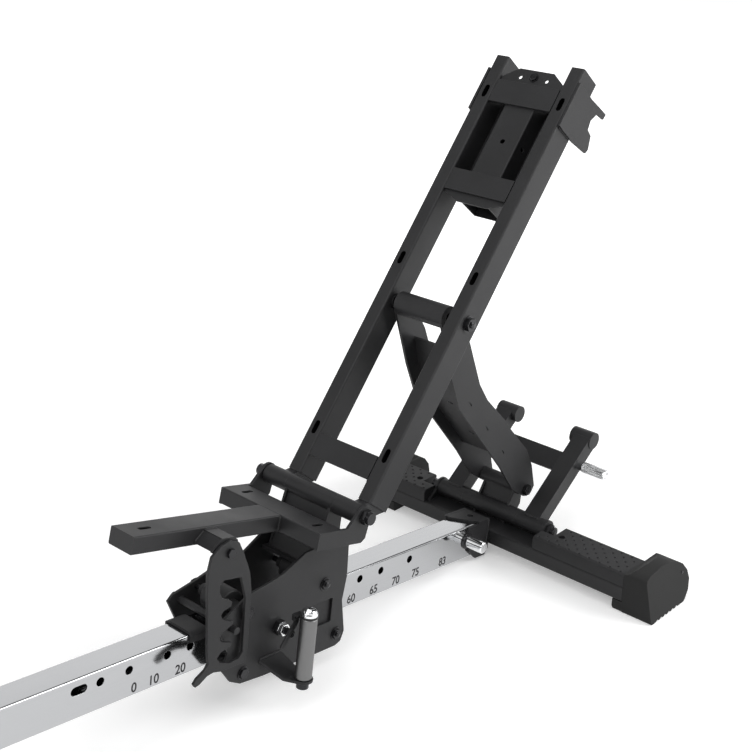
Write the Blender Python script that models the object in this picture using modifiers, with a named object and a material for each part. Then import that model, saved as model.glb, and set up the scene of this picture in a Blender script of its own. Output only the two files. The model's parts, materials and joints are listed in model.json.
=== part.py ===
"""Frame of an adjustable utility bench: a sloping rail with a sliding carriage, a back frame held up by a
strut, a tilting seat frame with its notched latch, and a folding rear frame. Lengths are metres, +Z is up.

Most pieces are laid out in the rail's own axes: x runs back along the rail, y across it, z up from its top
face, with the zero over the rear foot beam. The rail axes are then turned nose-up by RAIL_SLOPE and lifted so
that the feet stand on z = 0. The feet are laid out level, in the floor's axes."""

import math

import bmesh
import bpy
from mathutils import Matrix, Vector

MM = 0.001
GAP = 0.3 * MM  # clearance between pieces that touch or are welded
FIT = 0.6 * MM  # running clearance of a pin or a shaft in its bore

# Rail
RAIL_SLOPE = math.radians(7.5)
RAIL_W = 55 * MM
RAIL_H = 70 * MM
RAIL_WALL = 3 * MM
RAIL_FRONT = -1254 * MM
RAIL_REAR = -46 * MM
HOLE_D = 15 * MM
HOLE_Z = -21 * MM
PIN_X = -675 * MM  # the hole that the lock pin sits in
# dial number and the distance of its hole from the one in use
DIAL = (
    (10, -345),
    (20, -289),
    (30, -211),
    (35, -163),
    (40, -113),
    (45, -58),
    (50, 0),
    (55, 61),
    (60, 124),
    (65, 187),
    (70, 251),
    (75, 310),
    (83, 394),
)
SLOT_AT_ZERO = -385 * MM
SLOT_L = 31 * MM

# Height of the rail axes over the floor, under the rear beam
RAIL_LIFT = 73.8 * MM

# Feet, in the floor's axes
REAR_BEAM_X0 = -36 * MM
REAR_BEAM_D = 76 * MM
REAR_BEAM_BOTTOM = 24 * MM
REAR_BEAM_H = 33 * MM
REAR_BEAM_RIGHT = 398 * MM  # from the rail's middle to the beam's end, longer on the grip's side
REAR_BEAM_LEFT = 291 * MM
BOOT_WALL = 27 * MM  # rubber beyond the beam's end
BOOT_L = 68 * MM
BOOT_SKIN = 5 * MM  # rubber in front of the beam, which is cut back so that both faces are flush
BOOT_REACH = 72 * MM  # how far the boot bulges out behind the beam
SOLE_L = 22 * MM
TREAD_H = 27 * MM
TREAD_Y0 = 142 * MM
FRONT_BEAM_HALF = 205 * MM
FRONT_BEAM_D = 60 * MM
FRONT_BEAM_H = 40 * MM
FRONT_BEAM_BOTTOM = 14 * MM
FRONT_LEG_D = 50 * MM
BEAM_WALL = 3 * MM

# Main hinge, on the carriage
HINGE_X = -543 * MM
HINGE_Z = 169.5 * MM
HINGE_R = 17.5 * MM
HINGE_Y1 = 56.7 * MM
HINGE_Y2 = 113 * MM
SHAFT_R = 8 * MM

# Carriage
PLATE_Y = 61 * MM
PLATE_T = 5 * MM
UPPER_ROLLER_R = 26 * MM
LOWER_ROLLER_R = 14 * MM
ROLLER_HALF = 26 * MM
AXLE_R = 5 * MM
UPPER_AXLES_X = (-750 * MM, -565 * MM)
LOWER_AXLES_X = (-750 * MM, -523 * MM)
ROD_X = -786 * MM
ROD_Z = 12 * MM
ROD_R = 6.5 * MM
ROD_HALF = 80 * MM
PIN_R = 6.8 * MM
BOSS_R = 14 * MM
BOSS_L = 10 * MM
JAM_NUT_R = 11.5 * MM
JAM_NUT_L = 8 * MM
AXLE_HEAD_R = 10 * MM

# Fixed hand grip on its bracket, with the trigger for the lock pin
GRIP_X = -664 * MM
GRIP_Y = -125 * MM
GRIP_R = 15 * MM
GRIP_BOTTOM = -96.5 * MM
GRIP_TOP = 18 * MM
GRIP_LEAF_T = 5 * MM
TRIGGER_Y = -106.5 * MM
TRIGGER_Z = 12.5 * MM

# Seat frame, in its own axes with the zero on the main hinge
SEAT_TILT = math.radians(7.8)
SEAT_TOP = -18.8 * MM
SEAT_TUBE_H = 30 * MM
SPINE_W = 56 * MM
SPINE_FRONT = -428 * MM
CROSS_X0 = -108 * MM
CROSS_D = 60 * MM
CROSS_HALF = 121 * MM
EAR_T = 6 * MM
SEAT_SLOT_L = 26 * MM
SEAT_SLOT_W = 9 * MM
LATCH_PIVOT = (-266 * MM, -47 * MM)
LATCH_Y0 = -78 * MM
LATCH_Y1 = -72 * MM

# Back frame, in its own axes: u runs up the back, w out of its front face, the zero on the main hinge
BACK_ANGLE = math.radians(57.5)
BACK_FACE = -24.8 * MM
BACK_START = 26 * MM
BACK_END = 909 * MM
RAIL_Y = 86 * MM
BACK_RAIL_W = 30 * MM
BACK_RAIL_D = 56 * MM
BACK_SLOTS = (113 * MM, 468 * MM, 831 * MM)
SLOT_W = 11 * MM
SLOT_LONG = 27 * MM
LOW_BAR = (62 * MM, 107 * MM)
MID_BAR = (622 * MM, 666 * MM)
TOP_BAR = (813 * MM, 860 * MM)
PAN_START = 604 * MM
PAN_END = 892 * MM
PAN_FACE = -74 * MM
PAN_T = 3 * MM
BAR_T = 6 * MM
TUBE_HALF = 34 * MM
TUBE_D = 69 * MM
TUBE_HOLE_U = (MID_BAR[1] + TOP_BAR[0]) / 2
TUBE_HOLE_R = 5 * MM
HOOK_T = 5 * MM

# Strut between the base and the back frame
STRUT_BASE = (43 * MM, 59 * MM)
STRUT_TOP_U = 391 * MM
STRUT_TOP_W = -50 * MM
STRUT_Y = 52 * MM
STRUT_T = 5 * MM
STRUT_TUBE_R = 22 * MM
STRUT_BOLT_R = 6 * MM
STRUT_BASE_R = 15 * MM
WEB_INSET = 23 * MM

# Rear frame, in its own axes: u runs out along its arms, the zero on the rear hinge
STAND_HINGE = (17.4 * MM, 4.8 * MM)
STAND_R = 18.4 * MM
STAND_Y1 = 70 * MM
STAND_Y2 = 135 * MM
STAND_ANGLE = math.radians(44)
ARM_W = 38 * MM
ARM_D = 34 * MM
ARM_Y = 101 * MM
ARM_L = 222 * MM
ARM_END_R = 18 * MM
PEG_U = 158 * MM
PEG_R = 11.5 * MM
PEG_L = 68 * MM

SIDES = ((1, "left"), (-1, "right"))

for item in list(bpy.data.objects):
    bpy.data.objects.remove(item, do_unlink=True)

scene = bpy.context.scene
bench = bpy.data.collections.new("utility_bench")
cutters = bpy.data.collections.new("cutters")
scene.collection.children.link(bench)
scene.collection.children.link(cutters)
cutters.hide_render = True


def material(name, colour, roughness, metallic):
    made = bpy.data.materials.new(name)
    made.use_nodes = True
    shader = made.node_tree.nodes["Principled BSDF"]
    shader.inputs["Base Color"].default_value = (*colour, 1)
    shader.inputs["Roughness"].default_value = roughness
    shader.inputs["Metallic"].default_value = metallic
    made.diffuse_color = (*colour, 1)
    return made


FINISHES = {
    "black": ((0.035, 0.035, 0.037), 0.5, 0.3),
    "steel": ((0.62, 0.62, 0.63), 0.3, 1.0),
    "chrome": ((0.8, 0.8, 0.82), 0.12, 1.0),
    "alloy": ((0.7, 0.71, 0.72), 0.35, 1.0),
    "rubber": ((0.02, 0.02, 0.021), 0.75, 0.0),
    "nylon": ((0.05, 0.05, 0.052), 0.6, 0.0),
    "zinc": ((0.1, 0.1, 0.105), 0.35, 0.9),
}


def axes(name, parent=None, place=(0, 0, 0), turn_y=0.0):
    empty = bpy.data.objects.new(name, None)
    empty.empty_display_size = 0.05
    empty.parent = parent
    empty.location = place
    empty.rotation_euler = (0, turn_y, 0)
    bench.objects.link(empty)
    return empty


floor_axes = axes("floor_axes")
rail_axes = axes("rail_axes", floor_axes, (0, 0, RAIL_LIFT), RAIL_SLOPE)
carriage_axes = axes("carriage_axes", rail_axes, (HINGE_X, 0, HINGE_Z))
seat_axes = axes("seat_axes", carriage_axes, (0, 0, 0), SEAT_TILT)
back_axes = axes("back_axes", carriage_axes, (0, 0, 0), -BACK_ANGLE)
stand_axes = axes("stand_axes", rail_axes, (STAND_HINGE[0], 0, STAND_HINGE[1]), -STAND_ANGLE)


def circle(x, z, r, steps=24):
    return [
        (x + r * math.cos(2 * math.pi * i / steps), z + r * math.sin(2 * math.pi * i / steps))
        for i in range(steps)
    ]


def rounded(corners, r, steps=3):
    """The polygon with each corner replaced by a small arc-like chamfer of size r."""
    out = []
    for i, corner in enumerate(corners):
        here = Vector(corner)
        before = Vector(corners[i - 1]) - here
        after = Vector(corners[(i + 1) % len(corners)]) - here
        size = min(r, 0.45 * before.length, 0.45 * after.length)
        a = here + before.normalized() * size
        b = here + after.normalized() * size
        for k in range(steps + 1):
            t = k / steps
            point = a * (1 - t) ** 2 + here * 2 * t * (1 - t) + b * t * t
            out.append((point.x, point.y))
    return out


def box_loop(x0, x1, z0, z1, r=0.0):
    corners = [(x0, z0), (x1, z0), (x1, z1), (x0, z1)]
    return rounded(corners, r) if r else corners


def slot_loop(x, z, length, width, steps=6):
    out = []
    for side in (1, -1):
        for i in range(steps + 1):
            a = math.pi * (i / steps - 0.5) + (0 if side > 0 else math.pi)
            out.append(
                (x + side * (length - width) / 2 + width / 2 * math.cos(a), z + width / 2 * math.sin(a))
            )
    return out


def clean(mesh):
    work = bmesh.new()
    work.from_mesh(mesh)
    bmesh.ops.remove_doubles(work, verts=work.verts, dist=1e-6)
    bmesh.ops.recalc_face_normals(work, faces=work.faces)
    work.to_mesh(mesh)
    work.free()


ALONG_Y = Matrix(((1, 0, 0, 0), (0, 0, -1, 0), (0, 1, 0, 0), (0, 0, 0, 1)))
ALONG_X = Matrix(((0, 0, 1, 0), (1, 0, 0, 0), (0, 1, 0, 0), (0, 0, 0, 1)))
ALONG_Z = Matrix.Identity(4)


def solid(name, loops, low, high, turn=ALONG_Y):
    """A filled outline, with any further loops as holes in it, extruded from low to high. The outline is in
    x, z for ALONG_Y, in y, z for ALONG_X and in x, y for ALONG_Z."""
    curve = bpy.data.curves.new(name, "CURVE")
    curve.dimensions = "2D"
    curve.fill_mode = "BOTH"
    curve.extrude = (high - low) / 2
    for loop in loops:
        spline = curve.splines.new("POLY")
        spline.points.add(len(loop) - 1)
        for point, (a, b) in zip(spline.points, loop):
            point.co = (a, b, 0, 1)
        spline.use_cyclic_u = True
    holder = bpy.data.objects.new(name + "_outline", curve)
    scene.collection.objects.link(holder)
    bpy.context.view_layer.update()
    mesh = bpy.data.meshes.new_from_object(
        holder.evaluated_get(bpy.context.evaluated_depsgraph_get())
    )
    bpy.data.objects.remove(holder, do_unlink=True)
    bpy.data.curves.remove(curve)
    mesh.transform(turn)
    middle = (low + high) / 2
    shift = {0: (middle, 0, 0), 1: (0, middle, 0), 2: (0, 0, middle)}
    mesh.transform(Matrix.Translation(shift[(ALONG_X, ALONG_Y, ALONG_Z).index(turn)]))
    clean(mesh)
    return mesh


def rod_mesh(name, r, low, high, x=0.0, z=0.0, steps=24):
    return solid(name, [circle(x, z, r, steps)], low, high)


def turned(name, profile, steps=24):
    """A closed profile of (radius, distance) pairs spun about Z. It runs down its outer side."""
    mesh = bpy.data.meshes.new(name)
    count = len(profile)
    mesh.from_pydata([(r, 0, h) for r, h in profile], [(i, i + 1) for i in range(count - 1)], [])
    holder = bpy.data.objects.new(name + "_profile", mesh)
    scene.collection.objects.link(holder)
    spin = holder.modifiers.new("spin", "SCREW")
    spin.axis = "Z"
    spin.steps = spin.render_steps = steps
    spin.use_merge_vertices = True
    spin.merge_threshold = 0.00001
    bpy.context.view_layer.update()
    made = bpy.data.meshes.new_from_object(
        holder.evaluated_get(bpy.context.evaluated_depsgraph_get())
    )
    bpy.data.objects.remove(holder, do_unlink=True)
    clean(made)
    return made


def shade(mesh):
    mesh.polygons.foreach_set("use_smooth", [True] * len(mesh.polygons))
    mesh.set_sharp_from_angle(angle=math.radians(35))


def node(name, mesh, finish, parent, place=(0, 0, 0), turn=(0, 0, 0)):
    mesh.name = name
    made = bpy.data.objects.new(name, mesh)
    colour, roughness, metallic = FINISHES[finish]
    mesh.materials.clear()
    mesh.materials.append(material(name + "_" + finish, colour, roughness, metallic))
    made.parent = parent
    made.location = place
    made.rotation_euler = turn
    shade(mesh)
    bench.objects.link(made)
    return made


def helper(target, mesh, operation):
    """A hidden mesh in the target's own axes, cut from it or joined to it."""
    shade(mesh)
    tool = bpy.data.objects.new(f"{target.name}_{operation.lower()}_{len(target.modifiers)}", mesh)
    tool.parent = target
    tool.hide_render = True
    tool.display_type = "WIRE"
    cutters.objects.link(tool)
    step = target.modifiers.new(tool.name, "BOOLEAN")
    step.object = tool
    step.operation = operation
    step.solver = "EXACT"
    return tool


def cut(target, mesh):
    return helper(target, mesh, "DIFFERENCE")


def join(target, mesh):
    return helper(target, mesh, "UNION")


def level(x, z):
    """A point of the rail's axes in the floor's axes."""
    return (
        x * math.cos(RAIL_SLOPE) + z * math.sin(RAIL_SLOPE),
        RAIL_LIFT - x * math.sin(RAIL_SLOPE) + z * math.cos(RAIL_SLOPE),
    )


def rail_z_of_level(x, height):
    """Where a level plane at this height over the floor passes x in the rail's axes."""
    return (height - RAIL_LIFT + x * math.sin(RAIL_SLOPE)) / math.cos(RAIL_SLOPE)


# The rail, with its row of holes on the right-hand wall
rail_loops = [
    box_loop(-RAIL_W / 2, RAIL_W / 2, -RAIL_H, 0, 4 * MM),
    box_loop(
        -RAIL_W / 2 + RAIL_WALL, RAIL_W / 2 - RAIL_WALL, -RAIL_H + RAIL_WALL, -RAIL_WALL, 2 * MM
    ),
]
rail = node("rail", solid("rail", rail_loops, RAIL_FRONT, RAIL_REAR, ALONG_X), "steel", rail_axes)
wall_out = -RAIL_W / 2 - 3 * MM
wall_in = -RAIL_W / 2 + RAIL_WALL + 3 * MM
for angle, distance in DIAL:
    cut(
        rail,
        rod_mesh(
            f"hole_{angle}", HOLE_D / 2, wall_out, wall_in, PIN_X + distance * MM, HOLE_Z, 16
        ),
    )
cut(
    rail,
    solid(
        "hole_slot",
        [slot_loop(PIN_X + SLOT_AT_ZERO, HOLE_Z, SLOT_L, HOLE_D, 6)],
        wall_out,
        wall_in,
    ),
)
KNOB_X = -134 * MM
KNOB_Z = -12 * MM
KNOB_SHANK_R = 4 * MM
cut(rail, rod_mesh("hole_knob", KNOB_SHANK_R + FIT, wall_out, wall_in, KNOB_X, KNOB_Z, 16))

cap_lip = 6 * MM
rail_cap = node(
    "rail_cap",
    solid(
        "rail_cap",
        [box_loop(-RAIL_W / 2, RAIL_W / 2, -RAIL_H, 0, 4 * MM)],
        RAIL_FRONT - GAP - cap_lip,
        RAIL_FRONT - GAP,
        ALONG_X,
    ),
    "nylon",
    rail_axes,
)
join(
    rail_cap,
    solid(
        "rail_cap_plug",
        [
            box_loop(
                -RAIL_W / 2 + RAIL_WALL + GAP,
                RAIL_W / 2 - RAIL_WALL - GAP,
                -RAIL_H + RAIL_WALL + GAP,
                -RAIL_WALL - GAP,
                2 * MM,
            )
        ],
        RAIL_FRONT - GAP - cap_lip / 2,
        RAIL_FRONT + 14 * MM,
        ALONG_X,
    ),
)

# Front leg: a post under the rail's front end, standing on the front beam
leg_x0 = RAIL_FRONT + 2 * MM
leg_x1 = leg_x0 + FRONT_LEG_D
front_top = FRONT_BEAM_BOTTOM + FRONT_BEAM_H
leg_left = level(leg_x0, -RAIL_H - GAP)
leg_right = level(leg_x1, -RAIL_H - GAP)
front_leg = node(
    "front_leg",
    solid(
        "front_leg",
        [
            [
                (leg_left[0], front_top + GAP),
                (leg_right[0], front_top + GAP),
                leg_right,
                leg_left,
            ]
        ],
        -RAIL_W / 2 + 2 * MM,
        RAIL_W / 2 - 2 * MM,
    ),
    "black",
    floor_axes,
)
cut(
    front_leg,
    solid(
        "front_leg_hollow",
        [
            [
                (leg_left[0] + BEAM_WALL, front_top - MM),
                (leg_right[0] - BEAM_WALL, front_top - MM),
                (leg_right[0] - BEAM_WALL, leg_right[1] + 10 * MM),
                (leg_left[0] + BEAM_WALL, leg_left[1] + 10 * MM),
            ]
        ],
        -RAIL_W / 2 + 2 * MM + BEAM_WALL,
        RAIL_W / 2 - 2 * MM - BEAM_WALL,
    ),
)
front_mid = (leg_left[0] + leg_right[0]) / 2
node(
    "front_beam",
    solid(
        "front_beam",
        [
            box_loop(
                front_mid - FRONT_BEAM_D / 2,
                front_mid + FRONT_BEAM_D / 2,
                FRONT_BEAM_BOTTOM,
                front_top,
                6 * MM,
            ),
            box_loop(
                front_mid - FRONT_BEAM_D / 2 + BEAM_WALL,
                front_mid + FRONT_BEAM_D / 2 - BEAM_WALL,
                FRONT_BEAM_BOTTOM + BEAM_WALL,
                front_top - BEAM_WALL,
                3 * MM,
            ),
        ],
        -FRONT_BEAM_HALF,
        FRONT_BEAM_HALF,
    ),
    "black",
    floor_axes,
)
cap_wall = 5 * MM
for side, word in SIDES:
    outer = side * (FRONT_BEAM_HALF + cap_wall)
    inner = side * (FRONT_BEAM_HALF - 45 * MM)
    foot = node(
        f"front_foot_{word}",
        solid(
            "front_foot",
            [
                box_loop(
                    front_mid - FRONT_BEAM_D / 2 - cap_wall,
                    front_mid + FRONT_BEAM_D / 2 + cap_wall,
                    0,
                    front_top + cap_wall,
                    9 * MM,
                )
            ],
            min(outer, inner),
            max(outer, inner),
        ),
        "rubber",
        floor_axes,
    )
    cut(
        foot,
        solid(
            "front_foot_socket",
            [
                box_loop(
                    front_mid - FRONT_BEAM_D / 2 - GAP,
                    front_mid + FRONT_BEAM_D / 2 + GAP,
                    FRONT_BEAM_BOTTOM - GAP,
                    front_top + GAP,
                    6 * MM,
                )
            ],
            *sorted((inner - side * 5 * MM, side * (FRONT_BEAM_HALF + GAP))),
        ),
    )

# Rear beam with the two ears that hold the rear hinge
REAR_TOP = REAR_BEAM_BOTTOM + REAR_BEAM_H
REAR_X1 = REAR_BEAM_X0 + REAR_BEAM_D
rear_beam = node(
    "rear_beam",
    solid(
        "rear_beam",
        [
            box_loop(REAR_BEAM_X0, REAR_X1, REAR_BEAM_BOTTOM, REAR_TOP, 5 * MM),
            box_loop(
                REAR_BEAM_X0 + BEAM_WALL,
                REAR_X1 - BEAM_WALL,
                REAR_BEAM_BOTTOM + BEAM_WALL,
                REAR_TOP - BEAM_WALL,
                3 * MM,
            ),
        ],
        -REAR_BEAM_RIGHT,
        REAR_BEAM_LEFT,
    ),
    "black",
    floor_axes,
)
ear_x, ear_z = level(*STAND_HINGE)
EAR_R = 20 * MM
NOTCH_L = 30 * MM
SPOT_Y = 44 * MM
SPOT_R = 7 * MM
EAR_Y0 = STAND_Y2 + 2 * GAP
EAR_Y1 = TREAD_Y0 - 2 * GAP
for side, word in SIDES:
    ear = [
        (REAR_BEAM_X0 + 8 * MM, REAR_TOP - 2 * MM),
        (REAR_X1 - 6 * MM, REAR_TOP - 2 * MM),
    ]
    ear += [
        (
            ear_x + EAR_R * math.cos(math.radians(a)),
            ear_z + EAR_R * math.sin(math.radians(a)),
        )
        for a in range(0, 181, 20)
    ]
    join(
        rear_beam,
        solid(
            "rear_ear",
            [ear, circle(ear_x, ear_z, SHAFT_R + FIT, 20)],
            *sorted((side * EAR_Y0, side * EAR_Y1)),
        ),
    )

# Rubber boot over each end of the beam: it bulges out behind the beam and flares towards the floor
BEAM_END = {1: REAR_BEAM_LEFT, -1: REAR_BEAM_RIGHT}
BOOT_FLARE = 21 * MM
TREAD_TOP = REAR_TOP + TREAD_H
boot_front = REAR_BEAM_X0
boot_rear = REAR_X1 + BOOT_REACH
boot_top = TREAD_TOP + 15 * MM
boot_profile = [
    (boot_front + 4 * MM, 0),
    (boot_rear - 28 * MM, 0),
    (boot_rear - 8 * MM, 18 * MM),
    (boot_rear, 38 * MM),
    (boot_rear - 4 * MM, 58 * MM),
    (boot_rear - 18 * MM, 76 * MM),
    (boot_rear - 38 * MM, 88 * MM),
    (boot_rear - 64 * MM, boot_top - 3 * MM),
    (boot_rear - 92 * MM, boot_top),
    (boot_front + 16 * MM, boot_top - 4 * MM),
    (boot_front + 4 * MM, boot_top - 9 * MM),
    (boot_front, boot_top - 15 * MM),
    (boot_front, 8 * MM),
]
sole_top = REAR_BEAM_BOTTOM - 2 * GAP
sole_profile = [
    (boot_front + 5 * MM, 0),
    (REAR_X1 - 4 * MM, 0),
    (REAR_X1 - GAP, sole_top),
    (boot_front + MM, sole_top),
    (boot_front + MM, 8 * MM),
]
# Grooves across the sole's outer edge
GROOVE_L = 36 * MM
GROOVE_W = 12 * MM
GROOVE_PITCH = 14 * MM
GROOVE_Z = 5 * MM
grooves = [
    [(x, -MM), (x + GROOVE_W, -MM), (x + GROOVE_W / 2, GROOVE_Z)]
    for x in (boot_front + 18 * MM + i * GROOVE_PITCH for i in range(6))
]
socket = box_loop(
    REAR_BEAM_X0 + BOOT_SKIN, REAR_X1 + GAP, REAR_BEAM_BOTTOM - GAP, REAR_TOP + GAP
)
for side, word in SIDES:
    foot_end = BEAM_END[side] + BOOT_WALL
    boot_y = foot_end - BOOT_L
    sole_y = boot_y - SOLE_L
    cut(
        rear_beam,
        solid(
            "boot_seat",
            [
                box_loop(
                    REAR_BEAM_X0 - MM,
                    REAR_BEAM_X0 + BOOT_SKIN + GAP,
                    REAR_BEAM_BOTTOM - MM,
                    REAR_TOP + MM,
                )
            ],
            *sorted((side * (boot_y - GAP), side * (BEAM_END[side] + MM))),
        ),
    )
    foot = node(
        f"rear_foot_{word}",
        solid("rear_foot", [boot_profile], *sorted((side * boot_y, side * foot_end))),
        "rubber",
        floor_axes,
    )
    join(
        foot,
        solid("rear_sole", [sole_profile], *sorted((side * sole_y, side * (boot_y + MM)))),
    )
    cut(
        foot,
        solid(
            "boot_socket",
            [socket],
            *sorted((side * (boot_y - MM), side * (BEAM_END[side] + GAP))),
        ),
    )
    cut(
        foot,
        solid(
            "sole_grooves",
            grooves,
            *sorted((side * (foot_end - GROOVE_L), side * (foot_end + MM))),
        ),
    )
    flare = [
        (side * foot_end, 4 * MM),
        (side * (foot_end - BOOT_FLARE), boot_top + MM),
        (side * (foot_end + BOOT_FLARE), boot_top + MM),
    ]
    shoulder = [
        (side * (boot_y - MM), TREAD_TOP + 0.5 * MM),
        (side * (boot_y + 6 * MM), TREAD_TOP + 2 * MM),
        (side * (boot_y + 24 * MM), boot_top + MM),
        (side * (boot_y - MM), boot_top + MM),
    ]
    for outline in (flare, shoulder):
        cut(
            foot,
            solid("boot_trim", [outline], boot_front - 9 * MM, boot_rear + 9 * MM, ALONG_X),
        )
    tread = node(
        f"tread_{word}",
        solid(
            "tread",
            [
                [
                    (boot_front, REAR_TOP + GAP),
                    (REAR_X1 + MM, REAR_TOP + GAP),
                    (REAR_X1 + MM, TREAD_TOP - 3 * MM),
                    (REAR_X1 - 2 * MM, TREAD_TOP),
                    (boot_front + 7 * MM, TREAD_TOP),
                    (boot_front + 2 * MM, TREAD_TOP - 2 * MM),
                    (boot_front, TREAD_TOP - 7 * MM),
                ]
            ],
            *sorted((side * TREAD_Y0, side * (boot_y - GAP))),
        ),
        "nylon",
        floor_axes,
    )
    cut(
        tread,
        solid(
            "tread_spot",
            [circle(REAR_BEAM_X0 + 38 * MM, side * (TREAD_Y0 + SPOT_Y), SPOT_R, 16)],
            TREAD_TOP - 6 * MM,
            TREAD_TOP + 4 * MM,
            ALONG_Z,
        ),
    )
    cut(
        tread,
        solid(
            "tread_notch",
            [
                box_loop(
                    ear_x - EAR_R - MM, REAR_X1 + 4 * MM, REAR_TOP - 2 * MM, TREAD_TOP + 2 * MM
                )
            ],
            *sorted((side * (TREAD_Y0 - 2 * MM), side * (TREAD_Y0 + NOTCH_L))),
        ),
    )

# Bracket round the rail's rear end, welded to the rear beam's front face
BRACKET_T = 5 * MM
BRACKET_X0 = -105 * MM
BRACKET_HOLE_X = 45 * MM


def rail_x_of_level(x, z):
    """Where the upright plane at this floor x passes the height z of the rail's axes."""
    return (x - z * math.sin(RAIL_SLOPE)) / math.cos(RAIL_SLOPE)


beam_face = REAR_BEAM_X0 - GAP
beam_low = -RAIL_H + 8 * MM
WELD_STEP = 0.4 * MM  # the cheeks stand this much proud of the plate between them
cheek_loop = [
    (BRACKET_X0, GAP + BRACKET_T),
    (BRACKET_X0 + 12 * MM, -RAIL_H + 14 * MM),
    (BRACKET_X0 + 36 * MM, -RAIL_H - 6 * MM),
    (RAIL_REAR + 8 * MM, -RAIL_H - 6 * MM),
    (rail_x_of_level(beam_face, beam_low), beam_low),
    (rail_x_of_level(beam_face, GAP + BRACKET_T), GAP + BRACKET_T),
]
bracket = node(
    "rear_bracket",
    solid(
        "rear_bracket",
        [
            [
                (BRACKET_X0 + 2 * MM, GAP),
                (rail_x_of_level(beam_face - WELD_STEP, GAP), GAP),
                (
                    rail_x_of_level(beam_face - WELD_STEP, GAP + BRACKET_T - WELD_STEP),
                    GAP + BRACKET_T - WELD_STEP,
                ),
                (BRACKET_X0 + 2 * MM, GAP + BRACKET_T - WELD_STEP),
            ]
        ],
        -RAIL_W / 2 - MM,
        RAIL_W / 2 + MM,
    ),
    "black",
    rail_axes,
)
for side, word in SIDES:
    join(
        bracket,
        solid(
            "bracket_cheek",
            [cheek_loop],
            *sorted((side * (RAIL_W / 2 + GAP), side * (RAIL_W / 2 + GAP + BRACKET_T))),
        ),
    )
cut(
    bracket,
    solid(
        "bracket_hole",
        [circle(BRACKET_X0 + BRACKET_HOLE_X, 0, 7 * MM, 16)],
        -3 * MM,
        12 * MM,
        ALONG_Z,
    ),
)
cut(
    bracket,
    solid(
        "bracket_bevel",
        [
            [
                (BRACKET_X0 - 5 * MM, -RAIL_W),
                (BRACKET_X0 - 5 * MM, RAIL_W / 2 - 6 * MM),
                (BRACKET_X0 + 2 * MM, RAIL_W / 2 - 6 * MM),
                (BRACKET_X0 + 34 * MM, -RAIL_W / 2 - MM),
                (BRACKET_X0 + 34 * MM, -RAIL_W),
            ]
        ],
        GAP / 2,
        30 * MM,
        ALONG_Z,
    ),
)

# Spring knob on the rail's right-hand side, in its collar
knob_out = -RAIL_W / 2 - GAP
collar = node(
    "knob_collar",
    solid(
        "knob_collar",
        [circle(KNOB_X, KNOB_Z, 11 * MM, 20), circle(KNOB_X, KNOB_Z, KNOB_SHANK_R + FIT, 16)],
        knob_out - 26 * MM,
        knob_out,
    ),
    "chrome",
    rail_axes,
)
join(
    collar,
    solid(
        "collar_flange",
        [circle(KNOB_X, KNOB_Z, 17 * MM, 24), circle(KNOB_X, KNOB_Z, KNOB_SHANK_R + FIT, 16)],
        knob_out - 26 * MM,
        knob_out - 22 * MM,
    ),
)
knob_axes = axes("knob_axes", rail_axes, (KNOB_X, knob_out - 26 * MM, KNOB_Z))
knob_profile = [
    (0, 42 * MM),
    (10 * MM, 42 * MM),
    (12 * MM, 40 * MM),
    (12 * MM, 6 * MM),
    (10 * MM, GAP + 2 * MM),
    (10 * MM, GAP),
    (KNOB_SHANK_R, GAP),
    (KNOB_SHANK_R, -34 * MM),
    (0, -34 * MM),
]
node(
    "rail_knob",
    turned("rail_knob", knob_profile, 20),
    "chrome",
    knob_axes,
    turn=(math.pi / 2, 0, 0),
)

# Pedestal on the rear beam: the fixed hinge tube, and above it the tube that the strut turns on, held
# by two cheeks and a plate across them
base_x, base_z = STRUT_BASE
tube_x, tube_z = STAND_HINGE
PEDESTAL_HALF = STRUT_Y - 1 * MM
CHEEK_OUT = 40 * MM
CHEEK_T = 5 * MM


def on_beam(x):
    """The height of the rear beam's top at this x, in the rail's axes, with the weld's gap."""
    return rail_z_of_level(x, REAR_TOP) + GAP


cheek = [
    (base_x + STRUT_BASE_R - MM, base_z),
    (base_x + STRUT_BASE_R - MM, tube_z + 14 * MM),
    (tube_x + 18 * MM, on_beam(tube_x + 18 * MM)),
    (tube_x - 12 * MM, on_beam(tube_x - 12 * MM)),
    (tube_x - 12 * MM, tube_z),
    (base_x - STRUT_BASE_R + MM, base_z - 10 * MM),
    (base_x - STRUT_BASE_R + MM, base_z),
]
pedestal = node(
    "pedestal",
    rod_mesh(
        "strut_base_tube", STRUT_BASE_R, -PEDESTAL_HALF, PEDESTAL_HALF, base_x, base_z, 28
    ),
    "black",
    rail_axes,
)
for side, word in SIDES:
    join(
        pedestal,
        solid(
            "pedestal_cheek",
            [cheek],
            *sorted((side * (CHEEK_OUT - CHEEK_T), side * CHEEK_OUT)),
        ),
    )
join(
    pedestal,
    solid(
        "pedestal_front",
        [
            [
                (base_x - STRUT_BASE_R + 2 * MM, base_z - 4 * MM),
                (base_x - STRUT_BASE_R + 2 * MM, base_z - 16 * MM),
                (tube_x + 2 * MM, tube_z + 5 * MM),
                (tube_x + 7 * MM, tube_z + 5 * MM),
                (base_x - STRUT_BASE_R + 7 * MM, base_z - 16 * MM),
                (base_x - STRUT_BASE_R + 7 * MM, base_z - 4 * MM),
            ]
        ],
        -CHEEK_OUT + MM,
        CHEEK_OUT - MM,
    ),
)
cut(
    pedestal,
    rod_mesh(
        "strut_base_bore",
        STRUT_BOLT_R + FIT,
        -PEDESTAL_HALF - MM,
        PEDESTAL_HALF + MM,
        base_x,
        base_z,
        20,
    ),
)
join(pedestal, rod_mesh("fixed_tube", STAND_R, -STAND_Y1, STAND_Y1, tube_x, tube_z, 28))
cut(
    pedestal,
    rod_mesh(
        "fixed_tube_bore", SHAFT_R + FIT, -STAND_Y1 - MM, STAND_Y1 + MM, tube_x, tube_z, 20
    ),
)


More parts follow.
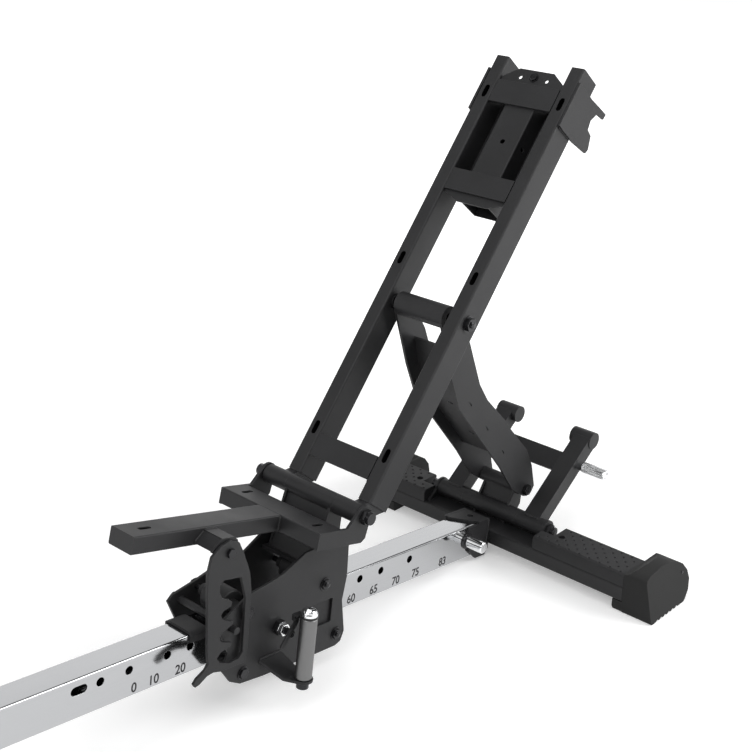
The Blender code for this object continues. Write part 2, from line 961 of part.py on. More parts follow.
def bolt(name, r, half, head_r, head_l, x, z, parent, finish="zinc", facets=6):
    """A through bolt along y with a head on one end and a nut on the other."""
    made = node(
        name,
        rod_mesh(name, r, -half - head_l / 2, half + head_l / 2, x, z, 20),
        finish,
        parent,
    )
    for low, high in ((-half - head_l, -half), (half, half + head_l)):
        join(made, solid(name + "_head", [circle(x, z, head_r, facets)], low, high))
    return made


REAR_NUT_R = 14 * MM
REAR_NUT_L = 9 * MM
ACORN_L = 7 * MM
rear_shaft = bolt(
    "rear_shaft", SHAFT_R, EAR_Y1 + GAP, REAR_NUT_R, REAR_NUT_L, tube_x, tube_z, rail_axes
)


def acorns(shaft, start, r, x=0.0, z=0.0):
    """Round ends of the cap nuts that stand out from the hexagons at both ends of a shaft."""
    for low, high in ((-start - ACORN_L, MM - start), (start - MM, start + ACORN_L)):
        join(shaft, rod_mesh(shaft.name + "_acorn", r, low, high, x, z, 16))


acorns(rear_shaft, EAR_Y1 + GAP + REAR_NUT_L, REAR_NUT_R - 3 * MM, tube_x, tube_z)
bolt(
    "strut_bolt",
    STRUT_BOLT_R,
    STRUT_Y + STRUT_T + GAP,
    12 * MM,
    8 * MM,
    base_x,
    base_z,
    rail_axes,
    facets=6,
)


# Carriage. Its pieces are laid out in the rail's axes, so each is moved back by the hinge's place
TO_HINGE = (-HINGE_X, 0, -HINGE_Z)
UPPER_Z = UPPER_ROLLER_R + GAP
LOWER_Z = -RAIL_H - LOWER_ROLLER_R - GAP
PLATE_OUT = PLATE_Y + PLATE_T
AXLES = (
    ("upper_front", UPPER_AXLES_X[0], UPPER_Z, UPPER_ROLLER_R),
    ("upper_rear", UPPER_AXLES_X[1], UPPER_Z, UPPER_ROLLER_R),
    ("lower_front", LOWER_AXLES_X[0], LOWER_Z, LOWER_ROLLER_R),
    ("lower_rear", LOWER_AXLES_X[1], LOWER_Z, LOWER_ROLLER_R),
)
plate_top_mm = {
    -1: ((-814, 17), (-806, 30), (-794, 37), (-747, 62), (-708, 68), (-671, 77), (-622, 101)),
    1: ((-814, 15), (-804, 25), (-755, 37), (-724, 46), (-643, 60), (-606, 83)),
}
plate_mm = (
    (-600, 103),
    (-515, 103),
    (-512, 95),
    (-507.5, 25),
    (-514, -21),
    (-500, -86),
    (-507, -105),
    (-520, -110),
    (-565, -110),
    (-703, -107),
    (-755, -103),
    (-779, -91),
    (-799, -65),
    (-788.5, -33),
)
WINDOW = (-590 * MM, -540 * MM, -55 * MM, -8 * MM)
for side, word in SIDES:
    loops = [[(x * MM, z * MM) for x, z in plate_top_mm[side] + plate_mm]]
    loops += [circle(x, z, AXLE_R + GAP, 16) for _, x, z, _ in AXLES]
    loops += [circle(ROD_X, ROD_Z, ROD_R + GAP, 20)]
    if side < 0:
        loops += [circle(PIN_X, HOLE_Z, PIN_R + FIT, 20), box_loop(*WINDOW, 3 * MM)]
    node(
        f"carriage_plate_{word}",
        solid("carriage_plate", loops, *sorted((side * PLATE_Y, side * PLATE_OUT))),
        "black",
        carriage_axes,
        place=TO_HINGE,
    )

# Pad that slides on the rail's side, seen through the window
PAD_LAP = 7 * MM
pad = box_loop(
    WINDOW[0] - PAD_LAP, WINDOW[1] + PAD_LAP, WINDOW[2] - PAD_LAP, WINDOW[3] + PAD_LAP, 4 * MM
)
node(
    "side_pad",
    solid("side_pad", [pad], -PLATE_Y + GAP, -RAIL_W / 2 - GAP),
    "nylon",
    carriage_axes,
    place=TO_HINGE,
)

# Upright welded between the plates, with the middle of the main hinge on top
UPRIGHT_HALF = 55 * MM
UPRIGHT_T = 5 * MM
BASE_Z0 = 58 * MM
BASE_Z1 = 63 * MM
BASE_X0 = -592 * MM
BASE_X1 = -530 * MM
cheek = [(BASE_X0, BASE_Z0 + MM), (BASE_X1, BASE_Z0 + MM)]
cheek += [
    (
        HINGE_X + HINGE_R * math.cos(math.radians(a)),
        HINGE_Z + HINGE_R * math.sin(math.radians(a)),
    )
    for a in range(-15, 196, 15)
]
upright = node(
    "upright",
    solid(
        "upright_base",
        [box_loop(BASE_X0 - 8 * MM, BASE_X1 + 8 * MM, BASE_Z0, BASE_Z1)],
        -PLATE_Y + GAP,
        PLATE_Y - GAP,
    ),
    "black",
    carriage_axes,
    place=TO_HINGE,
)
for side, word in SIDES:
    join(
        upright,
        solid(
            "upright_cheek",
            [cheek],
            *sorted((side * (UPRIGHT_HALF - UPRIGHT_T), side * UPRIGHT_HALF)),
        ),
    )
join(
    upright,
    solid(
        "upright_web",
        [
            [
                (BASE_X0 + 0.5 * MM, BASE_Z0 + MM),
                (BASE_X0 + 6 * MM, BASE_Z0 + MM),
                (HINGE_X - 4 * MM, HINGE_Z - 8 * MM),
                (HINGE_X - 10 * MM, HINGE_Z - 4 * MM),
            ]
        ],
        -UPRIGHT_HALF + MM,
        UPRIGHT_HALF - MM,
    ),
)
join(upright, rod_mesh("upright_tube", HINGE_R, -HINGE_Y1, HINGE_Y1, HINGE_X, HINGE_Z, 28))
cut(
    upright,
    rod_mesh(
        "upright_bore", SHAFT_R + FIT, -HINGE_Y1 - MM, HINGE_Y1 + MM, HINGE_X, HINGE_Z, 20
    ),
)

node(
    "cross_rod",
    rod_mesh("cross_rod", ROD_R, -ROD_HALF, ROD_HALF, ROD_X, ROD_Z, 20),
    "black",
    carriage_axes,
    place=TO_HINGE,
)

# Rollers over and under the rail, on through bolts
HUB_R = 11 * MM
HUB_REACH = 46 * MM
for word, x, z, r in AXLES:
    axle_axes = axes(f"axle_{word}_axes", carriage_axes, (x - HINGE_X, 0, z - HINGE_Z))
    edge = 2 * MM
    reach = HUB_REACH
    profile = [
        (HUB_R, reach),
        (HUB_R, ROLLER_HALF),
        (r - edge, ROLLER_HALF),
        (r, ROLLER_HALF - edge),
        (r, -ROLLER_HALF + edge),
        (r - edge, -ROLLER_HALF),
        (HUB_R, -ROLLER_HALF),
        (HUB_R, -reach),
        (AXLE_R + FIT, -reach),
        (AXLE_R + FIT, reach),
        (HUB_R, reach),
    ]
    node(
        f"roller_{word}",
        turned("roller", profile, 28),
        "nylon",
        axle_axes,
        turn=(math.pi / 2, 0, 0),
    )
    bolt(f"axle_{word}", AXLE_R, PLATE_OUT + GAP, AXLE_HEAD_R, 5 * MM, 0, 0, axle_axes)

# Nylon guide straddling the rail ahead of the plates
GUIDE_X0 = -842 * MM
GUIDE_X1 = -806 * MM
GUIDE_T = 5 * MM
GUIDE_DROP = 12 * MM
guide_in = RAIL_W / 2 + FIT
guide_loop = [
    (-guide_in + 4 * MM, FIT + GUIDE_T),
    (-guide_in - GUIDE_T, FIT),
    (-guide_in - GUIDE_T, -GUIDE_DROP),
    (-guide_in, -GUIDE_DROP),
    (-guide_in, FIT),
]
node(
    "front_guide",
    solid(
        "front_guide",
        [guide_loop + [(-y, z) for y, z in reversed(guide_loop)]],
        GUIDE_X0,
        GUIDE_X1,
        ALONG_X,
    ),
    "nylon",
    carriage_axes,
    place=TO_HINGE,
)

# Lock pin in its hexagonal boss and jam nut. It is drawn released, with its tip just clear of the rail,
# and slides in from there to lock
pin_boss = node(
    "pin_boss",
    solid(
        "pin_boss",
        [circle(PIN_X, HOLE_Z, BOSS_R, 6), circle(PIN_X, HOLE_Z, PIN_R + FIT, 20)],
        -PLATE_OUT - GAP - BOSS_L,
        -PLATE_OUT - GAP,
    ),
    "zinc",
    carriage_axes,
    place=TO_HINGE,
)
join(
    pin_boss,
    solid(
        "jam_nut",
        [circle(PIN_X, HOLE_Z, JAM_NUT_R, 6), circle(PIN_X, HOLE_Z, PIN_R + FIT, 20)],
        -PLATE_OUT - GAP - BOSS_L - JAM_NUT_L,
        -PLATE_OUT - GAP - BOSS_L + MM,
    ),
)
pin_axes = axes("pin_axes", carriage_axes, (PIN_X - HINGE_X, 0, HOLE_Z - HINGE_Z))
PIN_TIP = -RAIL_W / 2 - GAP
PIN_END = -PLATE_OUT - BOSS_L - JAM_NUT_L - 17 * MM
node("lock_pin", rod_mesh("lock_pin", PIN_R, PIN_END, PIN_TIP, steps=20), "zinc", pin_axes)

# Bent bracket welded to the right-hand plate, with the hand grip standing on its outer end
STEM_R = 6 * MM
LEAF_WALL_X = (-716 * MM, -662 * MM)
LEAF_WALL_Z = -72 * MM
LEAF_END_R = GRIP_R + 2.5 * MM
leaf_top = GRIP_BOTTOM - GAP
wall_y = -PLATE_OUT - GAP
leaf_side = [
    (wall_y, LEAF_WALL_Z),
    (GRIP_Y + LEAF_END_R, leaf_top),
    (GRIP_Y - LEAF_END_R, leaf_top),
    (GRIP_Y - LEAF_END_R, leaf_top - GRIP_LEAF_T),
    (GRIP_Y + LEAF_END_R + 1.5 * MM, leaf_top - GRIP_LEAF_T),
    (wall_y, LEAF_WALL_Z - GRIP_LEAF_T - 1.5 * MM),
]
leaf_plan = [(LEAF_WALL_X[1], wall_y + MM), (LEAF_WALL_X[0], wall_y + MM)]
leaf_plan += [
    (
        GRIP_X + LEAF_END_R * math.cos(math.radians(a)),
        GRIP_Y + LEAF_END_R * math.sin(math.radians(a)),
    )
    for a in range(195, 376, 20)
]
grip_bracket = node(
    "grip_bracket",
    solid("grip_bracket", [leaf_side], LEAF_WALL_X[0], GRIP_X + LEAF_END_R, ALONG_X),
    "black",
    carriage_axes,
    place=TO_HINGE,
)
helper(
    grip_bracket,
    solid("leaf_plan", [leaf_plan], leaf_top - 40 * MM, LEAF_WALL_Z + 20 * MM, ALONG_Z),
    "INTERSECT",
)
cut(
    grip_bracket,
    solid(
        "grip_bore",
        [circle(GRIP_X, GRIP_Y, STEM_R + GAP, 20)],
        leaf_top - 2 * GRIP_LEAF_T,
        leaf_top + GRIP_LEAF_T,
        ALONG_Z,
    ),
)
grip_axes = axes("grip_axes", carriage_axes, (GRIP_X - HINGE_X, GRIP_Y, GRIP_BOTTOM - HINGE_Z))
grip_l = GRIP_TOP - GRIP_BOTTOM
node(
    "grip",
    turned(
        "grip",
        [
            (STEM_R + GAP, grip_l),
            (GRIP_R - 1.5 * MM, grip_l),
            (GRIP_R, grip_l - 1.5 * MM),
            (GRIP_R, 1.5 * MM),
            (GRIP_R - 1.5 * MM, 0),
            (STEM_R + GAP, 0),
            (STEM_R + GAP, grip_l),
        ],
        28,
    ),
    "alloy",
    grip_axes,
)
RING_T = 3 * MM
dome_low = grip_l + RING_T + 2 * GAP
stem_low = -GRIP_LEAF_T - 2 * GAP
dome = [(0, dome_low + 15 * MM)]
dome += [
    (
        GRIP_R * math.sin(math.radians(a)) * 0.97,
        dome_low + 3 * MM + 12 * MM * math.cos(math.radians(a)),
    )
    for a in range(18, 91, 18)
]
dome += [
    (GRIP_R * 0.97, dome_low),
    (STEM_R, dome_low),
    (STEM_R, stem_low),
    (STEM_R + 5 * MM, stem_low),
    (STEM_R + 5 * MM, stem_low - 13 * MM),
    (0, stem_low - 13 * MM),
]
node("grip_stem", turned("grip_stem", dome, 28), "chrome", grip_axes)

# Trigger for the lock pin, hung on a cross pin from a ring under the grip's dome
TRIGGER_X = (-680 * MM, -668 * MM)
TRIGGER_EAR = 3 * MM
BARREL_R = 3 * MM
CROSS_PIN_R = 1.2 * MM
TRIGGER_W = 9 * MM
TRIGGER_T = 3.5 * MM
ring_low = GRIP_TOP + GAP
ear_x0 = TRIGGER_X[0] - GAP - TRIGGER_EAR
ear_x1 = TRIGGER_X[1] + GAP + TRIGGER_EAR
mount = node(
    "trigger_mount",
    solid(
        "trigger_ring",
        [circle(GRIP_X, GRIP_Y, GRIP_R, 28), circle(GRIP_X, GRIP_Y, STEM_R + GAP, 20)],
        ring_low,
        ring_low + RING_T,
        ALONG_Z,
    ),
    "black",
    carriage_axes,
    place=TO_HINGE,
)
join(
    mount,
    solid(
        "trigger_tab",
        [box_loop(ear_x0, ear_x1, GRIP_Y + 10 * MM, TRIGGER_Y + BARREL_R)],
        ring_low,
        ring_low + RING_T,
        ALONG_Z,
    ),
)
for x0, x1 in ((ear_x0, ear_x0 + TRIGGER_EAR), (ear_x1 - TRIGGER_EAR, ear_x1)):
    join(
        mount,
        solid(
            "trigger_ear",
            [
                box_loop(
                    TRIGGER_Y - BARREL_R,
                    TRIGGER_Y + BARREL_R,
                    TRIGGER_Z - BARREL_R,
                    ring_low + MM,
                )
            ],
            x0,
            x1,
            ALONG_X,
        ),
    )
join(
    mount,
    solid(
        "trigger_cross_pin",
        [circle(TRIGGER_Y, TRIGGER_Z, CROSS_PIN_R, 12)],
        ear_x0 + MM,
        ear_x1 - MM,
        ALONG_X,
    ),
)
trigger_axes = axes(
    "trigger_axes",
    carriage_axes,
    (
        (TRIGGER_X[0] + TRIGGER_X[1]) / 2 - HINGE_X,
        TRIGGER_Y,
        TRIGGER_Z - HINGE_Z,
    ),
)
trigger = node(
    "trigger_arm",
    solid(
        "trigger_barrel",
        [circle(0, 0, BARREL_R, 16), circle(0, 0, CROSS_PIN_R + GAP, 12)],
        (TRIGGER_X[0] - TRIGGER_X[1]) / 2,
        (TRIGGER_X[1] - TRIGGER_X[0]) / 2,
        ALONG_X,
    ),
    "black",
    trigger_axes,
)
# Middle line of the flat arm, from the barrel down to its free end
trigger_line = ((0, -2.4), (0, -5), (-4, -12), (-13, -22.5), (-31, -48.5))
arm_half = TRIGGER_W / 2
arm_loop = []
for side in (-1, 1):
    edge = []
    for i, (x, z) in enumerate(trigger_line):
        before = Vector(trigger_line[max(i - 1, 0)])
        after = Vector(trigger_line[min(i + 1, len(trigger_line) - 1)])
        way = (after - before).normalized()
        edge.append((x * MM - side * way.y * arm_half, z * MM + side * way.x * arm_half))
    arm_loop += edge if side < 0 else edge[::-1]
join(trigger, solid("trigger_strip", [arm_loop], -TRIGGER_T / 2, TRIGGER_T / 2))

# Main shaft through the upright, the back's sleeves and the seat's ears
MAIN_NUT_R = 14 * MM
MAIN_NUT_L = 9 * MM
main_shaft = bolt(
    "main_shaft", SHAFT_R, CROSS_HALF + GAP, MAIN_NUT_R, MAIN_NUT_L, 0, 0, carriage_axes
)

acorns(main_shaft, CROSS_HALF + GAP + MAIN_NUT_L, MAIN_NUT_R - 3 * MM)

# Seat frame
SEAT_LOW = SEAT_TOP - SEAT_TUBE_H
WALL = 2.5 * MM
CROSS_X1 = CROSS_X0 + CROSS_D
seat_spine = node(
    "seat_spine",
    solid(
        "seat_spine",
        [box_loop(-SPINE_W / 2, SPINE_W / 2, SEAT_LOW, SEAT_TOP, 3 * MM)],
        SPINE_FRONT,
        CROSS_X0 - GAP,
        ALONG_X,
    ),
    "black",
    seat_axes,
)
cut(
    seat_spine,
    solid(
        "spine_hollow",
        [box_loop(-SPINE_W / 2 + WALL, SPINE_W / 2 - WALL, SEAT_LOW + WALL, SEAT_TOP - WALL)],
        SPINE_FRONT + WALL,
        CROSS_X0 + MM,
        ALONG_X,
    ),
)


def slot_cutter(x, y, length, width, z0, z1, across=False):
    loop = slot_loop(0, 0, length, width, 5)
    loop = [(x + b, y + a) if across else (x + a, y + b) for a, b in loop]
    return solid("slot", [loop], z0, z1, ALONG_Z)


SPINE_SLOT_X = -385 * MM
cut(
    seat_spine,
    slot_cutter(
        SPINE_SLOT_X, 0, SEAT_SLOT_L, SEAT_SLOT_W, SEAT_TOP - 2 * WALL, SEAT_TOP + 2 * MM
    ),
)
HANGER_T = 4 * MM
HANGER_X0 = -302 * MM
HANGER_X1 = -243 * MM
HANGER_TOP_X0 = -284 * MM
HANGER_TOP = SEAT_TOP - 4 * MM
LATCH_GAP = 0.6 * MM
px, pz = LATCH_PIVOT
hanger_out = LATCH_Y1 + LATCH_GAP
hanger = [
    (HANGER_TOP_X0, HANGER_TOP),
    (HANGER_X0, SEAT_LOW + 4 * MM),
    (px - 11 * MM, pz - 10 * MM),
    (px - 5 * MM, pz - 13 * MM),
    (px + 6 * MM, pz - 12 * MM),
    (HANGER_X1 - 4 * MM, pz),
    (HANGER_X1, HANGER_TOP - 16 * MM),
    (HANGER_X1 - 5 * MM, HANGER_TOP - 6 * MM),
    (HANGER_X1 - 14 * MM, HANGER_TOP),
]
BOLT_R = 5 * MM
join(
    seat_spine,
    solid(
        "hanger_top",
        [box_loop(HANGER_TOP_X0, HANGER_X1 - 14 * MM, HANGER_TOP - HANGER_T, HANGER_TOP)],
        hanger_out,
        -SPINE_W / 2 + 2 * MM,
    ),
)
join(
    seat_spine,
    solid(
        "hanger_cheek",
        [hanger, circle(px, pz, BOLT_R + GAP, 16)],
        hanger_out,
        hanger_out + HANGER_T,
    ),
)
join(
    seat_spine,
    solid(
        "hanger_front",
        [
            [
                (HANGER_X0 + MM, SEAT_LOW + 5 * MM),
                (HANGER_X0 + MM + HANGER_T, SEAT_LOW + 5 * MM),
                (HANGER_TOP_X0 + HANGER_T, HANGER_TOP - MM),
                (HANGER_TOP_X0 + MM, HANGER_TOP - MM),
            ]
        ],
        hanger_out + MM,
        -SPINE_W / 2 + 2 * MM,
    ),
)

seat_crossbar = node(
    "seat_crossbar",
    solid(
        "seat_crossbar",
        [
            box_loop(CROSS_X0, CROSS_X1, SEAT_LOW, SEAT_TOP, 3 * MM),
            box_loop(CROSS_X0 + WALL, CROSS_X1 - WALL, SEAT_LOW + WALL, SEAT_TOP - WALL),
        ],
        -CROSS_HALF + EAR_T - MM,
        CROSS_HALF - EAR_T + MM,
    ),
    "black",
    seat_axes,
)
ear = [(CROSS_X0, SEAT_LOW), (CROSS_X0, SEAT_TOP), (-38 * MM, SEAT_TOP)]
ear += [
    (19 * MM * math.cos(math.radians(a)), 19 * MM * math.sin(math.radians(a)))
    for a in range(150, -31, -15)
]
ear += [(13 * MM, SEAT_LOW + 8 * MM), (4 * MM, SEAT_LOW)]
for side, word in SIDES:
    join(
        seat_crossbar,
        solid(
            "seat_ear",
            [ear, circle(0, 0, SHAFT_R + FIT, 20)],
            *sorted((side * (CROSS_HALF - EAR_T), side * CROSS_HALF)),
        ),
    )
    cut(
        seat_crossbar,
        slot_cutter(
            CROSS_X0 + CROSS_D / 2,
            side * RAIL_Y,
            SEAT_SLOT_L,
            SEAT_SLOT_W,
            SEAT_TOP - 2 * WALL,
            SEAT_TOP + 2 * MM,
        ),
    )
cut(
    seat_crossbar,
    solid(
        "crossbar_drain",
        [circle(CROSS_X0 + CROSS_D / 2, 0, 4 * MM, 12)],
        SEAT_LOW - 2 * MM,
        SEAT_LOW + 2 * WALL,
        ALONG_Z,
    ),
)

# Notched latch that hangs from the seat frame over the cross rod
latch_axes = axes("latch_axes", seat_axes, (px, 0, pz), -SEAT_TILT)
tilt_cos = math.cos(SEAT_TILT)
tilt_sin = math.sin(SEAT_TILT)
PIVOT_X = HINGE_X + px * tilt_cos + pz * tilt_sin
PIVOT_Z = HINGE_Z - px * tilt_sin + pz * tilt_cos
latch_mm = (
    (-852, 161),
    (-858, 133),
    (-846, -13),
    (-842, -30),
    (-849, -40),
    (-866, -50),
    (-872, -58),
    (-868, -64),
    (-859, -62),
    (-843, -52),
    (-830, -50),
    (-813, -54),
    (-759, -55),
    (-756, -20),
    (-758, 74),
    (-765, 112),
    (-782, 150),
    (-794, 172),
    (-812, 180),
    (-832, 176),
)
teeth_mm = (
    (-784, 108),
    (-822, 113),
    (-830, 107),
    (-829, 93),
    (-823, 82),
    (-812, 76),
    (-806, 74),
    (-800, 68),
    (-802, 61),
    (-810, 59),
    (-818, 57),
    (-823, 51),
    (-818, 42),
    (-806, 36),
    (-794.5, 31.5),
    (-795.5, 25.5),
    (-806, 22),
    (-817, 19),
    (-822, 11),
    (-818, 2),
    (-806, -3),
    (-794.5, -6.5),
    (-795.5, -12.5),
    (-806, -15),
    (-817, -18),
    (-825, -26),
    (-818, -36),
    (-806, -41),
    (-795, -45),
    (-775, -43),
    (-767, -34),
    (-770, 66),
)


def from_latch(points):
    return [(x * MM - PIVOT_X, z * MM - PIVOT_Z) for x, z in points]


node(
    "latch",
    solid(
        "latch",
        [from_latch(latch_mm), from_latch(teeth_mm), circle(0, 0, BOLT_R + FIT, 16)],
        LATCH_Y0,
        LATCH_Y1,
    ),
    "black",
    latch_axes,
)
bolt_low = LATCH_Y0 - GAP
bolt_high = hanger_out + HANGER_T + GAP
latch_bolt = node(
    "latch_bolt",
    rod_mesh("latch_bolt", BOLT_R, bolt_low - 2 * MM, bolt_high + 2 * MM, px, pz, 16),
    "zinc",
    seat_axes,
)
for low, high in ((bolt_low - 5 * MM, bolt_low), (bolt_high, bolt_high + 5 * MM)):
    join(latch_bolt, solid("latch_bolt_head", [circle(px, pz, 8.5 * MM, 6)], low, high))

# Back frame
RAIL_IN = RAIL_Y - BACK_RAIL_W / 2
RAIL_OUT = RAIL_Y + BACK_RAIL_W / 2
RAIL_BACK = BACK_FACE - BACK_RAIL_D
STUB_R = 7 * MM
for side, word in SIDES:
    y0, y1 = sorted((side * RAIL_IN, side * RAIL_OUT))
    back_rail = node(
        f"back_rail_{word}",
        solid(
            "back_rail",
            [box_loop(y0, y1, RAIL_BACK, BACK_FACE, 4 * MM)],
            BACK_START,
            BACK_END,
            ALONG_X,
        ),
        "black",
        back_axes,
    )
    cut(
        back_rail,
        solid(
            "back_rail_hollow",
            [box_loop(y0 + WALL, y1 - WALL, RAIL_BACK + WALL, BACK_FACE - WALL, 2 * MM)],
            BACK_START - MM,
            BACK_END - WALL,
            ALONG_X,
        ),
    )
    for u in BACK_SLOTS:
        cut(
            back_rail,
            slot_cutter(
                u, side * RAIL_Y, SLOT_LONG, SLOT_W, BACK_FACE - 2 * WALL, BACK_FACE + 2 * MM
            ),
        )
    cut(
        back_rail,
        rod_mesh(
            "stub_bore", STUB_R + GAP, y0 - MM, y1 + MM, STRUT_TOP_U, STRUT_TOP_W, steps=20
        ),
    )
    head_y = side * (RAIL_OUT + GAP)
    tip_y = side * (STRUT_Y + STRUT_T + 6 * MM)
    stub = node(
        f"back_stub_{word}",
        rod_mesh(
            "back_stub",
            STUB_R,
            *sorted((tip_y, head_y + side * 2 * MM)),
            STRUT_TOP_U,
            STRUT_TOP_W,
            20,
        ),
        "zinc",
        back_axes,
    )
    join(
        stub,
        solid(
            "back_stub_head",
            [circle(STRUT_TOP_U, STRUT_TOP_W, 13 * MM, 6)],
            *sorted((head_y, head_y + side * 9 * MM)),
        ),
    )
    join(
        stub,
        rod_mesh(
            "back_stub_washer",
            15 * MM,
            *sorted((side * (RAIL_IN - GAP), side * (RAIL_IN - 5 * MM))),
            STRUT_TOP_U,
            STRUT_TOP_W,
            24,
        ),
    )

    sleeve = node(
        f"back_sleeve_{word}",
        solid(
            "back_sleeve",
            [circle(0, 0, HINGE_R, 28), circle(0, 0, SHAFT_R + FIT, 20)],
            *sorted((side * (HINGE_Y1 + GAP), side * HINGE_Y2)),
        ),
        "black",
        back_axes,
    )
    join(
        sleeve,
        solid(
            "back_lug",
            [
                [
                    (-15 * MM, -6 * MM),
                    (-6 * MM, -34 * MM),
                    (BACK_START - GAP, RAIL_BACK + 3 * MM),
                    (BACK_START - GAP, BACK_FACE - MM),
                    (13 * MM, -9.5 * MM),
                    (0, -11 * MM),
                ]
            ],
            *sorted((side * (RAIL_IN + 3 * MM), side * (RAIL_OUT - 3 * MM))),
        ),
    )

BAR_HALF = RAIL_IN - GAP
for name, (u0, u1) in (
    ("back_low_bar", LOW_BAR),
    ("back_mid_bar", MID_BAR),
    ("back_top_bar", TOP_BAR),
):
    node(
        name,
        solid(name, [box_loop(u0, u1, BACK_FACE - BAR_T, BACK_FACE)], -BAR_HALF, BAR_HALF),
        "black",
        back_axes,
    )

# Pressed pan behind the middle and top bars, with a square tube down its middle
pan_front = BACK_FACE - BAR_T - GAP
lower_wing = [
    (PAN_START, -TUBE_HALF),
    (PAN_START, TUBE_HALF),
    (PAN_START + 14 * MM, BAR_HALF),
    (MID_BAR[1], BAR_HALF),
    (MID_BAR[1], -BAR_HALF),
    (PAN_START + 14 * MM, -BAR_HALF),
]
upper_wing = [
    (TOP_BAR[0], -BAR_HALF),
    (TOP_BAR[0], BAR_HALF),
    (PAN_END - 22 * MM, BAR_HALF),
    (PAN_END - 16 * MM, BAR_HALF - 8 * MM),
    (PAN_END, TUBE_HALF + 5 * MM),
    (PAN_END, -TUBE_HALF - 5 * MM),
    (PAN_END - 16 * MM, -BAR_HALF + 8 * MM),
    (PAN_END - 22 * MM, -BAR_HALF),
]
back_pan = node(
    "back_pan",
    solid("pan_lower", [lower_wing], pan_front - PAN_T, pan_front, ALONG_Z),
    "black",
    back_axes,
)
join(back_pan, solid("pan_upper", [upper_wing], pan_front - PAN_T, pan_front, ALONG_Z))
join(
    back_pan,
    solid(
        "pan_floor",
        [box_loop(MID_BAR[1] - 20 * MM, TOP_BAR[0] + 20 * MM, -BAR_HALF, BAR_HALF)],
        PAN_FACE - PAN_T,
        PAN_FACE,
        ALONG_Z,
    ),
)
tube_back = pan_front - TUBE_D
tube_front = pan_front - 0.2 * MM
join(
    back_pan,
    solid(
        "pan_tube",
        [box_loop(-TUBE_HALF, TUBE_HALF, tube_back, tube_front, 3 * MM)],
        PAN_START + 5 * MM,
        TOP_BAR[1],
        ALONG_X,
    ),
)
cut(
    back_pan,
    solid(
        "pan_tube_hollow",
        [box_loop(PAN_T - TUBE_HALF, TUBE_HALF - PAN_T, tube_back + PAN_T, tube_front - PAN_T)],
        PAN_START,
        TOP_BAR[1] - PAN_T,
        ALONG_X,
    ),
)
cut(
    back_pan,
    solid(
        "pan_hole",
        [circle(TUBE_HOLE_U, 0, TUBE_HOLE_R, 16)],
        tube_front - 3 * PAN_T,
        tube_front + 3 * MM,
        ALONG_Z,
    ),
)
cut(
    back_pan,
    rod_mesh(
        "pan_side_hole",
        TUBE_HOLE_R,
        -TUBE_HALF - 3 * MM,
        TUBE_HALF + 3 * MM,
        TUBE_HOLE_U,
        (tube_front + PAN_FACE) / 2,
        16,
    ),
)
for side, word in SIDES:
    cut(
        back_pan,
        solid(
            "pan_bolt_hole",
            [circle(TOP_BAR[1] + 14 * MM, side * 30 * MM, 4 * MM, 14)],
            pan_front - 2 * PAN_T,
            pan_front + 2 * MM,
            ALONG_Z,
        ),
    )

hook_mm = (
    (857, 0),
    (856, -57),
    (860, -99),
    (861, -118),
    (849, -117),
    (845, -91),
    (826, -82),
    (809, -87),
    (806, -104),
    (783, -116),
    (773, -113),
    (766, -61),
    (765, -16),
    (766, 0),
)
HOOK_U = 23.6 * MM
for side, word in SIDES:
    node(
        f"back_hook_{word}",
        solid(
            "back_hook",
            [[(t * MM + HOOK_U, n * MM + BACK_FACE) for t, n in hook_mm]],
            *sorted((side * (RAIL_OUT + GAP), side * (RAIL_OUT + GAP + HOOK_T))),
        ),
        "black",
        back_axes,
    )

# Strut, in its own axes about its lower bolt and parallel to the rail's
strut_axes = axes("strut_axes", rail_axes, (base_x, 0, base_z))
TOP_X = (
    HINGE_X - base_x + STRUT_TOP_U * math.cos(BACK_ANGLE) - STRUT_TOP_W * math.sin(BACK_ANGLE)
)
TOP_Z = (
    HINGE_Z - base_z + STRUT_TOP_U * math.sin(BACK_ANGLE) + STRUT_TOP_W * math.cos(BACK_ANGLE)
)
strut_mm = (
    (-217, 415),
    (-167, 324),
    (-135, 287),
    (-67, 233),
    (-45.5, 212),
    (27.5, 150),
    (54, 110.5),
    (73.5, 61),
    (66, 47),
    (52, 42),
    (38, 45),
    (-3, 68),
    (-60, 130),
    (-221, 283),
    (-258, 349),
)


def from_strut(points):
    return [(x * MM - base_x, z * MM - base_z) for x, z in points]


strut_loop = from_strut(strut_mm)
reach = math.hypot(TOP_X, TOP_Z)
way = (TOP_X / reach, TOP_Z / reach)
top_arc = [
    (
        TOP_X + STRUT_TUBE_R * math.cos(math.radians(a)),
        TOP_Z + STRUT_TUBE_R * math.sin(math.radians(a)),
    )
    for a in range(210, 29, -20)
]
strut_loop = strut_loop + top_arc
strut_holes = [circle(0, 0, STRUT_BOLT_R + FIT, 20)]


def strip(points, t):
    """A band of thickness t along a line of points, on its right-hand side."""
    inner = []
    for i, here in enumerate(points):
        a = Vector(points[max(i - 1, 0)])
        b = Vector(points[min(i + 1, len(points) - 1)])
        way = (b - a).normalized()
        inner.append((here[0] + way.y * t, here[1] - way.x * t))
    return list(points) + inner[::-1]


